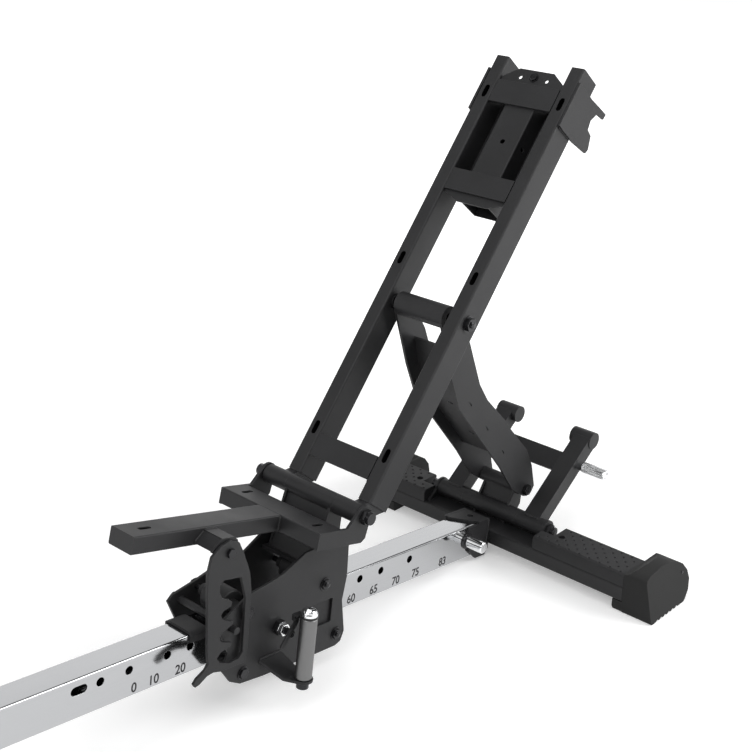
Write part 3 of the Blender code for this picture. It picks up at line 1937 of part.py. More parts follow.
strut = node(
    "strut",
    rod_mesh(
        "strut_tube", STRUT_TUBE_R, -STRUT_Y - STRUT_T, STRUT_Y + STRUT_T, TOP_X, TOP_Z, 28
    ),
    "black",
    strut_axes,
)
for side, word in SIDES:
    join(
        strut,
        solid(
            "strut_plate",
            [strut_loop] + strut_holes,
            *sorted((side * STRUT_Y, side * (STRUT_Y + STRUT_T))),
        ),
    )
edge_low, edge_high = (Vector(p) for p in from_strut([(-60, 130), (-221, 283)]))
up_strut = (edge_high - edge_low).normalized()
inwards = Vector((up_strut.y, -up_strut.x))
web_low = edge_low + inwards * WEB_INSET
web_high = edge_high + inwards * WEB_INSET
web_top = from_strut([(-247, 400)])[0]
join(
    strut,
    solid(
        "strut_web",
        [strip([web_low, web_high, web_top], STRUT_T)],
        -STRUT_Y - MM,
        STRUT_Y + MM,
    ),
)
web_middle = (web_low + web_high) / 2 + inwards * STRUT_T / 2
WEB_HOLE_R = 6 * MM
WEB_HOLE_PITCH = 114 * MM
WEB_SLOT = (13 * MM, 3.5 * MM)
WEB_SLOTS = (-89 * MM, 2 * MM, 92 * MM)
across_web = math.atan2(inwards.x, inwards.y)
for way in (-1, 1):
    hole = solid("web_hole", [circle(0, 0, WEB_HOLE_R, 16)], -2 * STRUT_T, 2 * STRUT_T, ALONG_Z)
    middle = web_middle + up_strut * (way * WEB_HOLE_PITCH / 2 + 14 * MM)
    hole.transform(
        Matrix.Translation((middle.x, 0, middle.y)) @ Matrix.Rotation(across_web, 4, "Y")
    )
    cut(strut, hole)
# Short slots in the plates for the tabs on the web
slot_turn = math.atan2(up_strut.y, up_strut.x)
for along in WEB_SLOTS:
    middle = web_middle + up_strut * along
    tab = [
        (
            middle.x + a * math.cos(slot_turn) - b * math.sin(slot_turn),
            middle.y + a * math.sin(slot_turn) + b * math.cos(slot_turn),
        )
        for a, b in slot_loop(0, 0, *WEB_SLOT, 3)
    ]
    for side, word in SIDES:
        deep = side * (STRUT_Y + STRUT_T - 1.5 * MM)
        cut(strut, solid("tab_slot", [tab], *sorted((deep, side * (STRUT_Y + 2 * STRUT_T)))))
cut(
    strut,
    rod_mesh(
        "strut_tube_bore",
        STUB_R + 2 * MM,
        -STRUT_Y - 2 * STRUT_T,
        STRUT_Y + 2 * STRUT_T,
        TOP_X,
        TOP_Z,
        20,
    ),
)

# Rear frame
DRAIN_U = 60 * MM
ARM_IN = ARM_Y - ARM_W / 2
ARM_OUT = ARM_Y + ARM_W / 2
for side, word in SIDES:
    y0, y1 = sorted((side * ARM_IN, side * ARM_OUT))
    arm = node(
        f"rear_arm_{word}",
        solid(
            "rear_arm_sleeve",
            [circle(0, 0, STAND_R, 28)],
            *sorted((side * (STAND_Y1 + GAP), side * STAND_Y2)),
        ),
        "black",
        stand_axes,
    )
    join(
        arm,
        solid("rear_arm_bar", [box_loop(y0, y1, -ARM_D / 2, ARM_D / 2)], 2 * MM, ARM_L, ALONG_X),
    )
    join(
        arm,
        rod_mesh(
            "rear_arm_end",
            ARM_END_R,
            *sorted((side * (ARM_IN - 11 * MM), side * (ARM_OUT + 2 * MM))),
            ARM_L,
            0,
            24,
        ),
    )
    cut(
        arm,
        solid(
            "rear_arm_hollow",
            [box_loop(y0 + WALL, y1 - WALL, -ARM_D / 2 + WALL, ARM_D / 2 - WALL)],
            STAND_R + 4 * MM,
            ARM_L - ARM_END_R - 4 * MM,
            ALONG_X,
        ),
    )
    cut(
        arm,
        solid(
            "rear_arm_drain",
            [circle(DRAIN_U, side * ARM_Y, 3 * MM, 12)],
            -ARM_D / 2 - 2 * MM,
            -ARM_D / 2 + 2 * WALL,
            ALONG_Z,
        ),
    )
    cut(
        arm,
        solid(
            "rear_arm_bore",
            [circle(0, 0, SHAFT_R + FIT, 20)],
            *sorted((side * (STAND_Y1 - MM), side * (STAND_Y2 + MM))),
        ),
    )
    if side < 0:
        cut(
            arm,
            rod_mesh(
                "peg_bore", 5 * MM + FIT, y0 - MM, y0 + WALL + 2 * MM, PEG_U, 0, steps=16
            ),
        )

CROSS_PLATE = (127 * MM, 173 * MM)
node(
    "rear_plate",
    solid(
        "rear_plate",
        [box_loop(*CROSS_PLATE, -3 * MM, 3 * MM)],
        -ARM_IN + GAP,
        ARM_IN - GAP,
    ),
    "black",
    stand_axes,
)
peg_axes = axes("peg_axes", stand_axes, (PEG_U, -ARM_OUT, 0))
peg_profile = [
    (0, PEG_L),
    (PEG_R - MM, PEG_L),
    (PEG_R, PEG_L - MM),
    (PEG_R, 14 * MM),
    (PEG_R - 2 * MM, 13 * MM),
    (PEG_R - 2 * MM, GAP),
    (5 * MM, GAP),
    (5 * MM, -WALL - 8 * MM),
    (0, -WALL - 8 * MM),
]
node(
    "rear_peg",
    turned("rear_peg", peg_profile, 20),
    "chrome",
    peg_axes,
    turn=(math.pi / 2, 0, 0),
)

# Flat faces keep their own normals beside the rounded corners
for item in bench.objects:
    if item.type == "MESH":
        flat = item.modifiers.new("flat_faces", "WEIGHTED_NORMAL")
        flat.keep_sharp = True

# The origin lies on the floor, under the middle of the bench's length and width
front_reach = front_mid - FRONT_BEAM_D / 2 - cap_wall
rear_reach = ear_x + ARM_L * math.cos(STAND_ANGLE - RAIL_SLOPE) + ARM_END_R
floor_axes.location.x = -(front_reach + rear_reach) / 2
floor_axes.location.y = (REAR_BEAM_RIGHT - REAR_BEAM_LEFT) / 2
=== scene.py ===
"""Looks of an adjustable utility bench frame: powder-coated tubes and plates, a plated rail with printed
numbers, chrome and zinc hardware, rubber feet, the pale studio floor and the camera."""

import json
import math

import bmesh
import bpy
from bpy.props import BoolProperty, FloatProperty, FloatVectorProperty, PointerProperty
from bpy.types import Operator, Panel, PropertyGroup
from mathutils import Matrix, Vector

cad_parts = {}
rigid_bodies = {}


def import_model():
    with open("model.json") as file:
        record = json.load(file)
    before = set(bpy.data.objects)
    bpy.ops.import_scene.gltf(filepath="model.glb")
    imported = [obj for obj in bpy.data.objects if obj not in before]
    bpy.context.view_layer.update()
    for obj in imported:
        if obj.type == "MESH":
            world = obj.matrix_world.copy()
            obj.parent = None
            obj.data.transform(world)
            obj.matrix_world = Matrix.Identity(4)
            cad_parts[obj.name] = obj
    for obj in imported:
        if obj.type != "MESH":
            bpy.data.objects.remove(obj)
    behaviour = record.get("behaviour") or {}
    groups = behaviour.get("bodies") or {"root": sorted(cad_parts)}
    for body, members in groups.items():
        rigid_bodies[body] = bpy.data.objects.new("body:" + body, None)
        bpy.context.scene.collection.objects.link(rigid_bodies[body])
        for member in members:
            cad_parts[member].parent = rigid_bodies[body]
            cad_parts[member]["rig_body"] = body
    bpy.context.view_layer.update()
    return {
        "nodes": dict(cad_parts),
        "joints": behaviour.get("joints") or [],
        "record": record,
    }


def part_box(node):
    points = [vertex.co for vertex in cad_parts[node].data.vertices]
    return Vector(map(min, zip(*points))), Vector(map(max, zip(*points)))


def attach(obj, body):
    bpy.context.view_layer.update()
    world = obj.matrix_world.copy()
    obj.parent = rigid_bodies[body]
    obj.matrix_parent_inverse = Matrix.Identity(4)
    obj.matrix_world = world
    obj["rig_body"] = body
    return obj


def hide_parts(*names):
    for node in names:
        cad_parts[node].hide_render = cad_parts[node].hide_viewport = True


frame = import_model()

bl_info = {
    "name": "Utility Bench Looks",
    "version": (1, 0, 0),
    "blender": (4, 5, 0),
    "location": "View3D > Sidebar > Bench",
    "description": "Dresses the bench frame: finishes, printed numbers, welds, hardware, floor and camera",
    "category": "Object",
}

MM = 0.001

# Places that the scene shares with the frame, in the rail's own axes
HINGE = (-543 * MM, 169.5 * MM)
SEAT_TILT = 7.8
BACK_ANGLE = 57.5
STAND_ANGLE = 44.0
RAIL_W = 55 * MM

JOINTS = {joint["name"]: joint for joint in frame["joints"]}


def along_y(place, degrees):
    """Axes at a place, turned about Y so that +X points below the level by so many degrees."""
    return Matrix.Translation(place) @ Matrix.Rotation(math.radians(degrees), 4, "Y")


slope_axis = Vector(JOINTS["carriage_slide"]["axis"])
RAIL_SLOPE = math.degrees(math.atan2(-slope_axis.z, slope_axis.x))
hinge_place = Vector(JOINTS["back_tilt"]["pos_m"])
at_hinge = along_y(hinge_place, RAIL_SLOPE)
RAIL = at_hinge @ Matrix.Translation((-HINGE[0], 0, -HINGE[1]))
SEAT = along_y(hinge_place, RAIL_SLOPE + SEAT_TILT)
BACK = along_y(hinge_place, RAIL_SLOPE - BACK_ANGLE)
STAND = along_y(Vector(JOINTS["rear_frame_turn"]["pos_m"]), RAIL_SLOPE - STAND_ANGLE)
# The left side is +Y
SIDES = ((1, "left"), (-1, "right"))

# Dial: the number printed on the rail and its hole's distance from the hole in use
PIN_X = -675 * MM
DIAL = (
    (0, -385),
    (10, -345),
    (20, -289),
    (30, -211),
    (35, -163),
    (40, -113),
    (45, -58),
    (50, 0),
    (55, 61),
    (60, 124),
    (65, 187),
    (70, 251),
    (75, 310),
    (83, 394),
)
# Printed numbers: share of the type's size that a digit is high, and how narrow and bold they are
DIGIT_SHARE = 0.7
DIGIT_WIDTH = 0.92
DIGIT_BOLD = 0.4 * MM
INK_DEPTH = 0.06 * MM

# Hand grip on the carriage, and the face of the carriage's side plates
GRIP = RAIL @ Matrix.Translation((-664 * MM, -125 * MM, -96.5 * MM))
GRIP_R = 15 * MM
GRIP_L = 114.5 * MM
GRIP_BORE = 6.4 * MM
GRIP_END_R = 13.5 * MM
PLATE_FACE = 66.3 * MM
# Axles of the rollers: the place of each head on the side plates
AXLES = (
    ("upper_front", -750, 26.3),
    ("upper_rear", -565, 26.3),
    ("lower_front", -750, -84.3),
    ("lower_rear", -523, -84.3),
)
AXLE_HEAD_L = 5 * MM
# Thread radius and washer radius, in millimetres, of the axles and of the back frame's stub bolts
AXLE_SIZE = (5, 12.5)
STUB_SIZE = (6, 15.5)
STUB_HEAD_L = 9.3 * MM
# Back frame: inner and outer face of a rail, its front face and depth
BACK_IN = 71 * MM
BACK_OUT = 101 * MM
BACK_FACE = -24.8 * MM
BACK_DEPTH = 56 * MM
BARS = (("low", 62, 107), ("middle", 622, 666), ("top", 813, 860))
STUB_U = 391 * MM
STUB_W = -50 * MM
PAN_BOLT_U = 877 * MM
SLEEVE_U = 26 * MM
HOOK_ENDS = (("low", 789 * MM), ("high", 880 * MM))
# Seat frame: half width of the spine, top and underside, and where the crossbar starts
SPINE_HALF = 28 * MM
SEAT_TOP = -18.8 * MM
SEAT_LOW = -48.8 * MM
CROSS_X0 = -108 * MM
# Welds of the carriage's uprights and grip bracket and of the rail's bracket, in the rail's axes
LEAF_X = (-714 * MM, -664 * MM)
LEAF_Z = -71.5 * MM
UPRIGHT_X = (-588 * MM, -534 * MM)
UPRIGHT_Y = 55 * MM
UPRIGHT_Z = 63 * MM
BRACKET_X = -38.5 * MM
BRACKET_Y = 32.8 * MM
BRACKET_Z = (-56 * MM, 2 * MM)
# Rear frame: where an arm's weld starts and ends, and half of the arm's height
ARM_X = 7.5 * MM
ARM_Y = (84 * MM, 118 * MM)
ARM_HALF = 17 * MM
# Pull peg on the rear frame: radius, distance and depth of the flutes, in millimetres
PEG = STAND @ Matrix.Translation((158 * MM, -120 * MM, 0)) @ Matrix.Rotation(math.pi / 2, 4, "X")
PEG_PROFILE = (
    (5, -10.5, 0),
    (5, 0.3, 0),
    (9.5, 0.3, 0),
    (9.5, 13, 0),
    (10.6, 14, 0),
    (11.5, 15, 0),
    (11.5, 16, 0.7),
    (11.5, 64, 0.7),
    (11.5, 65.5, 0),
    (10.5, 68, 0),
    (7.0, 68, 0),
    (6.4, 66.5, 0),
)
# Screw in the boot's side: radius and height of its head
BOOT_SCREW = ((0.2 * MM, 0), (3.4 * MM, 0), (3.2 * MM, 1.6 * MM), (0.2 * MM, 2.4 * MM))

# Studio: place and size of each lamp in metres, and the front lamp's share of the key lamp's power
KEY_LAMP = ((2.0, -2.7, 1.9), 1.9)
TOP_LAMP = ((-0.4, -0.2, 3.2), 3.0)
FRONT_LAMP = ((-2.6, -0.4, 2.5), 2.0)
FRONT_SHARE = 0.4
LAMP_AIM = Vector((0, 0, 0.35))
# Floor: radius, and its brightness to the camera and in bounced light
FLOOR_R = 9.0
FLOOR_SEEN = 0.85
FLOOR_BOUNCE = 0.3
# The floor's glow: a near and a far distance from the middle, then the glow at each
FLOOR_GLOW = (0.9, 2.4, 0.3, 1.0)
ROOM_LIGHT = 0.42
# Camera: turn, dip and roll in degrees and place, solved from the photograph in the rail's axes
CAMERA_ANGLES = (39.81, 17.39, 6.29)
CAMERA_PLACE = Vector((-2221.7, -1510.6, 1104.3)) * MM


class BenchFinishes(PropertyGroup):
    """Colours and gloss of the bench's materials."""

    powder: FloatVectorProperty(
        name="Powder coat",
        description="Colour of the coated frame",
        subtype="COLOR",
        size=3,
        default=(0.016, 0.016, 0.017),
        min=0,
        max=1,
    )
    powder_gloss: FloatProperty(
        name="Powder roughness",
        description="Roughness of the coated frame",
        subtype="FACTOR",
        default=0.5,
        min=0,
        max=1,
    )
    plate: FloatVectorProperty(
        name="Rail plating",
        description="Colour of the plated rail",
        subtype="COLOR",
        size=3,
        default=(0.45, 0.455, 0.465),
        min=0,
        max=1,
    )
    chrome: FloatVectorProperty(
        name="Chrome",
        description="Colour of the polished hardware",
        subtype="COLOR",
        size=3,
        default=(0.82, 0.83, 0.84),
        min=0,
        max=1,
    )
    zinc: FloatVectorProperty(
        name="Black zinc",
        description="Colour of the bolts and shafts",
        subtype="COLOR",
        size=3,
        default=(0.022, 0.022, 0.024),
        min=0,
        max=1,
    )
    grip: FloatVectorProperty(
        name="Grip",
        description="Colour of the knurled hand grip",
        subtype="COLOR",
        size=3,
        default=(0.18, 0.18, 0.18),
        min=0,
        max=1,
    )
    rubber: FloatVectorProperty(
        name="Rubber",
        description="Colour of the feet",
        subtype="COLOR",
        size=3,
        default=(0.021, 0.021, 0.021),
        min=0,
        max=1,
    )
    nylon: FloatVectorProperty(
        name="Nylon",
        description="Colour of the rollers, guide and treads",
        subtype="COLOR",
        size=3,
        default=(0.019, 0.019, 0.02),
        min=0,
        max=1,
    )
    # Painted highlight: a lighter colour laid along the coat's edges
    wear: FloatVectorProperty(
        name="Edge highlight",
        description="Lighter colour painted along the coat's edges as a highlight",
        subtype="COLOR",
        size=3,
        default=(0.09, 0.09, 0.092),
        min=0,
        max=1,
    )
    ink: FloatVectorProperty(
        name="Printed numbers",
        description="Colour of the numbers on the rail",
        subtype="COLOR",
        size=3,
        default=(0.02, 0.02, 0.022),
        min=0,
        max=1,
    )


class BenchDetail(PropertyGroup):
    """Sizes of the small detail."""

    edge: FloatProperty(
        name="Edge break",
        description="Width of the rounded edge on plates and tubes",
        subtype="DISTANCE",
        unit="LENGTH",
        default=0.7 * MM,
        min=0.1 * MM,
        max=3 * MM,
    )
    number_height: FloatProperty(
        name="Number height",
        description="Height of the printed numbers",
        subtype="DISTANCE",
        unit="LENGTH",
        default=17 * MM,
        min=2 * MM,
        max=40 * MM,
    )
    number_back: FloatProperty(
        name="Number offset",
        description="Distance from a hole back to its number",
        subtype="DISTANCE",
        unit="LENGTH",
        default=107.5 * MM,
        min=0,
        max=300 * MM,
    )
    number_z: FloatProperty(
        name="Number level",
        description="Height of the numbers' middle under the rail's top",
        subtype="DISTANCE",
        unit="LENGTH",
        default=-56.4 * MM,
        min=-70 * MM,
        max=0,
    )
    dimple: FloatProperty(
        name="Dimple",
        description="Width of a dimple in the treads",
        subtype="DISTANCE",
        unit="LENGTH",
        default=6 * MM,
        min=1 * MM,
        max=10 * MM,
    )
    dimple_pitch: FloatProperty(
        name="Dimple pitch",
        description="Distance between the staggered rows of dimples",
        subtype="DISTANCE",
        unit="LENGTH",
        default=12 * MM,
        min=6 * MM,
        max=30 * MM,
    )
    knurl: FloatProperty(
        name="Knurl depth",
        description="Depth of the knurling on the hand grip",
        subtype="DISTANCE",
        unit="LENGTH",
        default=0.3 * MM,
        min=0,
        max=1 * MM,
    )
    bead: FloatProperty(
        name="Weld bead",
        description="Radius of the weld beads",
        subtype="DISTANCE",
        unit="LENGTH",
        default=2.0 * MM,
        min=0.5 * MM,
        max=5 * MM,
    )


class BenchStage(PropertyGroup):
    """Lamps, floor and camera."""

    key_power: FloatProperty(
        name="Key lamp",
        description="Power of the lamp on the right of the camera",
        unit="POWER",
        default=88,
        min=0,
        max=1000,
    )
    top_power: FloatProperty(
        name="Top lamp",
        description="Power of the lamp overhead",
        unit="POWER",
        default=36,
        min=0,
        max=1000,
    )
    lens: FloatProperty(
        name="Lens",
        description="Focal length, found with the camera's place from the photograph",
        unit="CAMERA",
        default=66.07,
        min=10,
        max=300,
    )
    show_floor: BoolProperty(
        name="Floor",
        description="Lay the pale floor under the bench",
        default=True,
    )


def finishes():
    return bpy.context.scene.bench_finishes


def detail():
    return bpy.context.scene.bench_detail


# Shader groups


def socket(group, name, kind, way, value=None):
    made = group.interface.new_socket(name=name, in_out=way, socket_type=kind)
    if value is not None:
        made.default_value = value


def link(tree, source, target):
    tree.links.new(source, target)


def shared_group(name, build):
    """The node group of this name, built the first time that it is asked for."""
    found = bpy.data.node_groups.get(name)
    if found is None:
        found = bpy.data.node_groups.new(name, "ShaderNodeTree")
        build(found)
    return found


def noise(tree, vector, scale, detail_levels=3.0, roughness=0.55):
    made = tree.nodes.new("ShaderNodeTexNoise")
    made.inputs["Detail"].default_value = detail_levels
    made.inputs["Roughness"].default_value = roughness
    if isinstance(scale, (int, float)):
        made.inputs["Scale"].default_value = scale
    else:
        link(tree, scale, made.inputs["Scale"])
    link(tree, vector, made.inputs["Vector"])
    return made


def maths(tree, kind, *values):
    made = tree.nodes.new("ShaderNodeMath")
    made.operation = kind
    for slot, value in zip(made.inputs, values):
        if isinstance(value, (int, float)):
            slot.default_value = value
        else:
            link(tree, value, slot)
    return made.outputs[0]


def spread(tree, value, low, high, out_low=0.0, out_high=1.0):
    made = tree.nodes.new("ShaderNodeMapRange")
    link(tree, value, made.inputs["Value"])
    for name, number in (
        ("From Min", low),
        ("From Max", high),
        ("To Min", out_low),
        ("To Max", out_high),
    ):
        made.inputs[name].default_value = number
    return made.outputs["Result"]


def build_coat(group):
    """Powder coat: a fine orange peel, soft patches of gloss and a little dust."""
    socket(group, "Vector", "NodeSocketVector", "INPUT")
    socket(group, "Peel Scale", "NodeSocketFloat", "INPUT", 900.0)
    socket(group, "Patch Scale", "NodeSocketFloat", "INPUT", 9.0)
    socket(group, "Height", "NodeSocketFloat", "OUTPUT")
    socket(group, "Patches", "NodeSocketFloat", "OUTPUT")
    socket(group, "Dust", "NodeSocketFloat", "OUTPUT")
    start = group.nodes.new("NodeGroupInput")
    end = group.nodes.new("NodeGroupOutput")
    peel = noise(group, start.outputs["Vector"], start.outputs["Peel Scale"], 2.0)
    patch = noise(group, start.outputs["Vector"], start.outputs["Patch Scale"], 5.0, 0.6)
    speck = noise(group, start.outputs["Vector"], 260.0, 6.0, 0.7)
    link(group, peel.outputs["Fac"], end.inputs["Height"])
    link(group, spread(group, patch.outputs["Fac"], 0.3, 0.7), end.inputs["Patches"])
    dust = spread(group, speck.outputs["Fac"], 0.62, 0.8)
    link(group, dust, end.inputs["Dust"])


def build_brushed(group):
    """Long streaks along X with a few cloudy patches, as drawn and plated steel has."""
    socket(group, "Vector", "NodeSocketVector", "INPUT")
    socket(group, "Streaks", "NodeSocketFloat", "OUTPUT")
    socket(group, "Clouds", "NodeSocketFloat", "OUTPUT")
    start = group.nodes.new("NodeGroupInput")
    end = group.nodes.new("NodeGroupOutput")
    stretch = group.nodes.new("ShaderNodeMapping")
    stretch.inputs["Scale"].default_value = (1.5, 420.0, 420.0)
    link(group, start.outputs["Vector"], stretch.inputs["Vector"])
    streak = noise(group, stretch.outputs["Vector"], 1.0, 4.0, 0.6)
    cloud = noise(group, start.outputs["Vector"], 14.0, 4.0)
    link(group, streak.outputs["Fac"], end.inputs["Streaks"])
    link(group, spread(group, cloud.outputs["Fac"], 0.3, 0.7), end.inputs["Clouds"])


def build_wear(group):
    """Painted highlight along the edges: where the rounded normal leaves the face's own, broken up by a
    noise.
    """
    socket(group, "Vector", "NodeSocketVector", "INPUT")
    socket(group, "Radius", "NodeSocketFloat", "INPUT", 1.2 * MM)
    socket(group, "Mask", "NodeSocketFloat", "OUTPUT")
    start = group.nodes.new("NodeGroupInput")
    end = group.nodes.new("NodeGroupOutput")
    soft = group.nodes.new("ShaderNodeBevel")
    soft.samples = 3
    link(group, start.outputs["Radius"], soft.inputs["Radius"])
    face = group.nodes.new("ShaderNodeNewGeometry")
    match = group.nodes.new("ShaderNodeVectorMath")
    match.operation = "DOT_PRODUCT"
    link(group, soft.outputs["Normal"], match.inputs[0])
    link(group, face.outputs["True Normal"], match.inputs[1])
    edge = spread(group, match.outputs["Value"], 0.99, 0.8)
    patch = noise(group, start.outputs["Vector"], 75.0, 4.0, 0.65)
    broken = spread(group, patch.outputs["Fac"], 0.42, 0.68)
    link(group, maths(group, "MULTIPLY", edge, broken), end.inputs["Mask"])


# Materials


def principled(name, colour, roughness, metallic, shine=None):
    made = bpy.data.materials.new(name)
    made.use_nodes = True
    tree = made.node_tree
    shader = tree.nodes["Principled BSDF"]
    shader.inputs["Base Color"].default_value = (*colour, 1)
    shader.inputs["Roughness"].default_value = roughness
    shader.inputs["Metallic"].default_value = metallic
    if shine is not None:
        shader.inputs["Specular IOR Level"].default_value = shine
    made.diffuse_color = (*colour, 1)
    return made, tree, shader


def place_group(tree, name, build, turn=None, **values):
    """The shared group in this material, fed by the piece's own coordinates."""
    coords = tree.nodes.new("ShaderNodeTexCoord")
    vector = coords.outputs["Object"]
    if turn is not None:
        mapped = tree.nodes.new("ShaderNodeMapping")
        mapped.inputs["Rotation"].default_value = turn
        link(tree, vector, mapped.inputs["Vector"])
        vector = mapped.outputs["Vector"]
    made = tree.nodes.new("ShaderNodeGroup")
    made.node_tree = shared_group(name, build)
    link(tree, vector, made.inputs["Vector"])
    for key, value in values.items():
        made.inputs[key.replace("_", " ")].default_value = value
    return made


def tint(tree, factor, colour, share):
    """The colour made lighter or darker by up to a share, where the factor goes from 0 to 1."""
    mixed = tree.nodes.new("ShaderNodeMix")
    mixed.data_type = "RGBA"
    link(tree, factor, mixed.inputs["Factor"])
    mixed.inputs["A"].default_value = (*[c * (1 - share) for c in colour], 1)
    mixed.inputs["B"].default_value = (*[min(c * (1 + share), 1) for c in colour], 1)
    return mixed.outputs["Result"]


def bump(tree, height, distance, strength):
    made = tree.nodes.new("ShaderNodeBump")
    made.inputs["Distance"].default_value = distance
    made.inputs["Strength"].default_value = strength
    link(tree, height, made.inputs["Height"])
    return made.outputs["Normal"]


def worn(tree, skin, highlight_colour):
    """The skin's colour, mixed with a lighter colour along the edges: a painted highlight."""
    wear = place_group(tree, "painted_edge_highlight", build_wear)
    mixed = tree.nodes.new("ShaderNodeMix")
    mixed.data_type = "RGBA"
    link(tree, wear.outputs["Mask"], mixed.inputs["Factor"])
    link(tree, skin, mixed.inputs["A"])
    mixed.inputs["B"].default_value = (*highlight_colour, 1)
    return mixed.outputs["Result"]


def coated(
    name, colour, roughness, peel=900.0, depth=0.05 * MM, shine=0.32, metallic=0.0, highlight_colour=None
):
    """Paint, nylon or rubber: a dark skin with its own grain, patches of gloss and dust."""
    made, tree, shader = principled(name, colour, roughness, metallic, shine)
    coat = place_group(tree, "coat_grain", build_coat, Peel_Scale=peel)
    skin = tint(tree, coat.outputs["Patches"], colour, 0.22)
    # Painted highlight: a lighter colour along the edges, where one is given
    if highlight_colour is not None:
        skin = worn(tree, skin, highlight_colour)
    link(tree, skin, shader.inputs["Base Color"])
    gloss = spread(tree, coat.outputs["Patches"], 0, 1, roughness - 0.07, roughness + 0.07)
    dusty = maths(tree, "MULTIPLY_ADD", coat.outputs["Dust"], 0.12, gloss)
    link(tree, dusty, shader.inputs["Roughness"])
    link(tree, bump(tree, coat.outputs["Height"], depth, 0.6), shader.inputs["Normal"])
    return made


def plated(name, colour, low, high, turn=(0, 0, 0), depth=0.01 * MM):
    """Bright metal with streaks along its length."""
    made, tree, shader = principled(name, colour, low, 1.0)
    brush = place_group(tree, "brushed_streaks", build_brushed, turn=turn)
    link(tree, tint(tree, brush.outputs["Streaks"], colour, 0.06), shader.inputs["Base Color"])
    gloss = spread(tree, brush.outputs["Streaks"], 0.3, 0.7, low, high)
    cloudy = maths(tree, "MULTIPLY_ADD", brush.outputs["Clouds"], 0.05, gloss)
    link(tree, cloudy, shader.inputs["Roughness"])
    link(tree, bump(tree, brush.outputs["Streaks"], depth, 0.5), shader.inputs["Normal"])
    return made


def powder_coat():
    # The coat carries a painted highlight along its edges
    return coated(
        "powder_coat", finishes().powder, finishes().powder_gloss, highlight_colour=finishes().wear
    )


def black_zinc():
    return coated("black_zinc", finishes().zinc, 0.26, 500.0, 0.02 * MM, 0.6, 0.6)


def rubber():
    return coated("rubber", finishes().rubber, 0.72, 700.0, 0.08 * MM, 0.25)


def nylon():
    return coated("nylon", finishes().nylon, 0.56, 600.0, 0.04 * MM, 0.3)


def rail_plating():
    return plated(
        "rail_plating", finishes().plate, 0.07, 0.13, (0, math.radians(-RAIL_SLOPE), 0)
    )


def chrome():
    return plated("chrome", finishes().chrome, 0.06, 0.1, depth=0.002 * MM)


def ink():
    return coated("number_ink", finishes().ink, 0.55, 900.0, 0.01 * MM)


def grip_metal():
    return plated("grip_metal", finishes().grip, 0.34, 0.46)


MATERIALS = {}


def finish(name):
    """The material of this finish, made once."""
    makers = {
        "black": powder_coat,
        "steel": rail_plating,
        "chrome": chrome,
        "zinc": black_zinc,
        "rubber": rubber,
        "nylon": nylon,
        "ink": ink,
        "alloy": grip_metal,
    }
    if name not in MATERIALS:
        MATERIALS[name] = makers[name]()
    return MATERIALS[name]


# Pieces


def piece(name, mesh, body, finish_name, smooth=35):
    """A new piece that rides on a body and takes its finish from a slot of the record."""
    mesh.materials.clear()
    mesh.materials.append(finish(finish_name))
    mesh.polygons.foreach_set("use_smooth", [True] * len(mesh.polygons))
    mesh.set_sharp_from_angle(angle=math.radians(smooth))
    made = bpy.data.objects.new(name, mesh)
    bpy.context.scene.collection.objects.link(made)
    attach(made, body)
    return made


def dress(node_name, finish_name, edge=None):
    """Gives a CAD node its material, and breaks its sharp edges."""
    obj = frame["nodes"][node_name]
    obj.data.materials.clear()
    obj.data.materials.append(finish(finish_name))
    obj.data.polygons.foreach_set("use_smooth", [True] * len(obj.data.polygons))
    break_edges(obj, edge)


def paint(node_name, finish_name, place, axis, low, high):
    """A second finish on the faces whose middle lies between two heights along one of the axes."""
    obj = frame["nodes"][node_name]
    obj.data.materials.append(finish(finish_name))
    back = place.inverted()
    for face in obj.data.polygons:
        if low < (back @ face.center)[axis] < high:
            face.material_index = len(obj.data.materials) - 1


def break_edges(obj, edge):
    """Rounds the sharp edges of a CAD node, by the panel's width where no other is given."""
    weld = obj.modifiers.new("one_skin", "WELD")
    weld.merge_threshold = 0.01 * MM
    flat = obj.modifiers.new("flat_faces", "DECIMATE")
    flat.decimate_type = "DISSOLVE"
    flat.angle_limit = math.radians(0.5)
    broken = obj.modifiers.new("broken_edges", "BEVEL")
    broken.width = detail().edge if edge is None else edge
    broken.segments = 2
    broken.limit_method = "ANGLE"
    broken.angle_limit = math.radians(38)
    broken.use_clamp_overlap = True
    normals = obj.modifiers.new("face_normals", "WEIGHTED_NORMAL")
    normals.keep_sharp = False


def mesh_of(work, name):
    """The mesh of a finished bmesh, which is freed."""
    mesh = bpy.data.meshes.new(name)
    work.to_mesh(mesh)
    work.free()
    return mesh


def recut(node_name, cutter, finish_name):
    """A copy of a CAD node with a cutter taken out of it, which stands for the node."""
    node = frame["nodes"][node_name]
    copy = bpy.data.objects.new(node_name + "_copy", node.data.copy())
    tool = bpy.data.objects.new(node_name + "_cutter", cutter)
    for obj in (copy, tool):
        bpy.context.scene.collection.objects.link(obj)
    weld = copy.modifiers.new("one_skin", "WELD")
    weld.merge_threshold = 0.01 * MM
    taken = copy.modifiers.new("taken_out", "BOOLEAN")
    taken.object = tool
    taken.solver = "EXACT"
    bpy.context.view_layer.update()
    mesh = bpy.data.meshes.new_from_object(
        copy.evaluated_get(bpy.context.evaluated_depsgraph_get())
    )
    for obj in (copy, tool):
        bpy.data.objects.remove(obj)
    loose = mesh.attributes.get("custom_normal")
    if loose is not None:
        mesh.attributes.remove(loose)
    made = piece(node_name + "_detailed", mesh, node["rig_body"], finish_name)
    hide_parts(node_name)


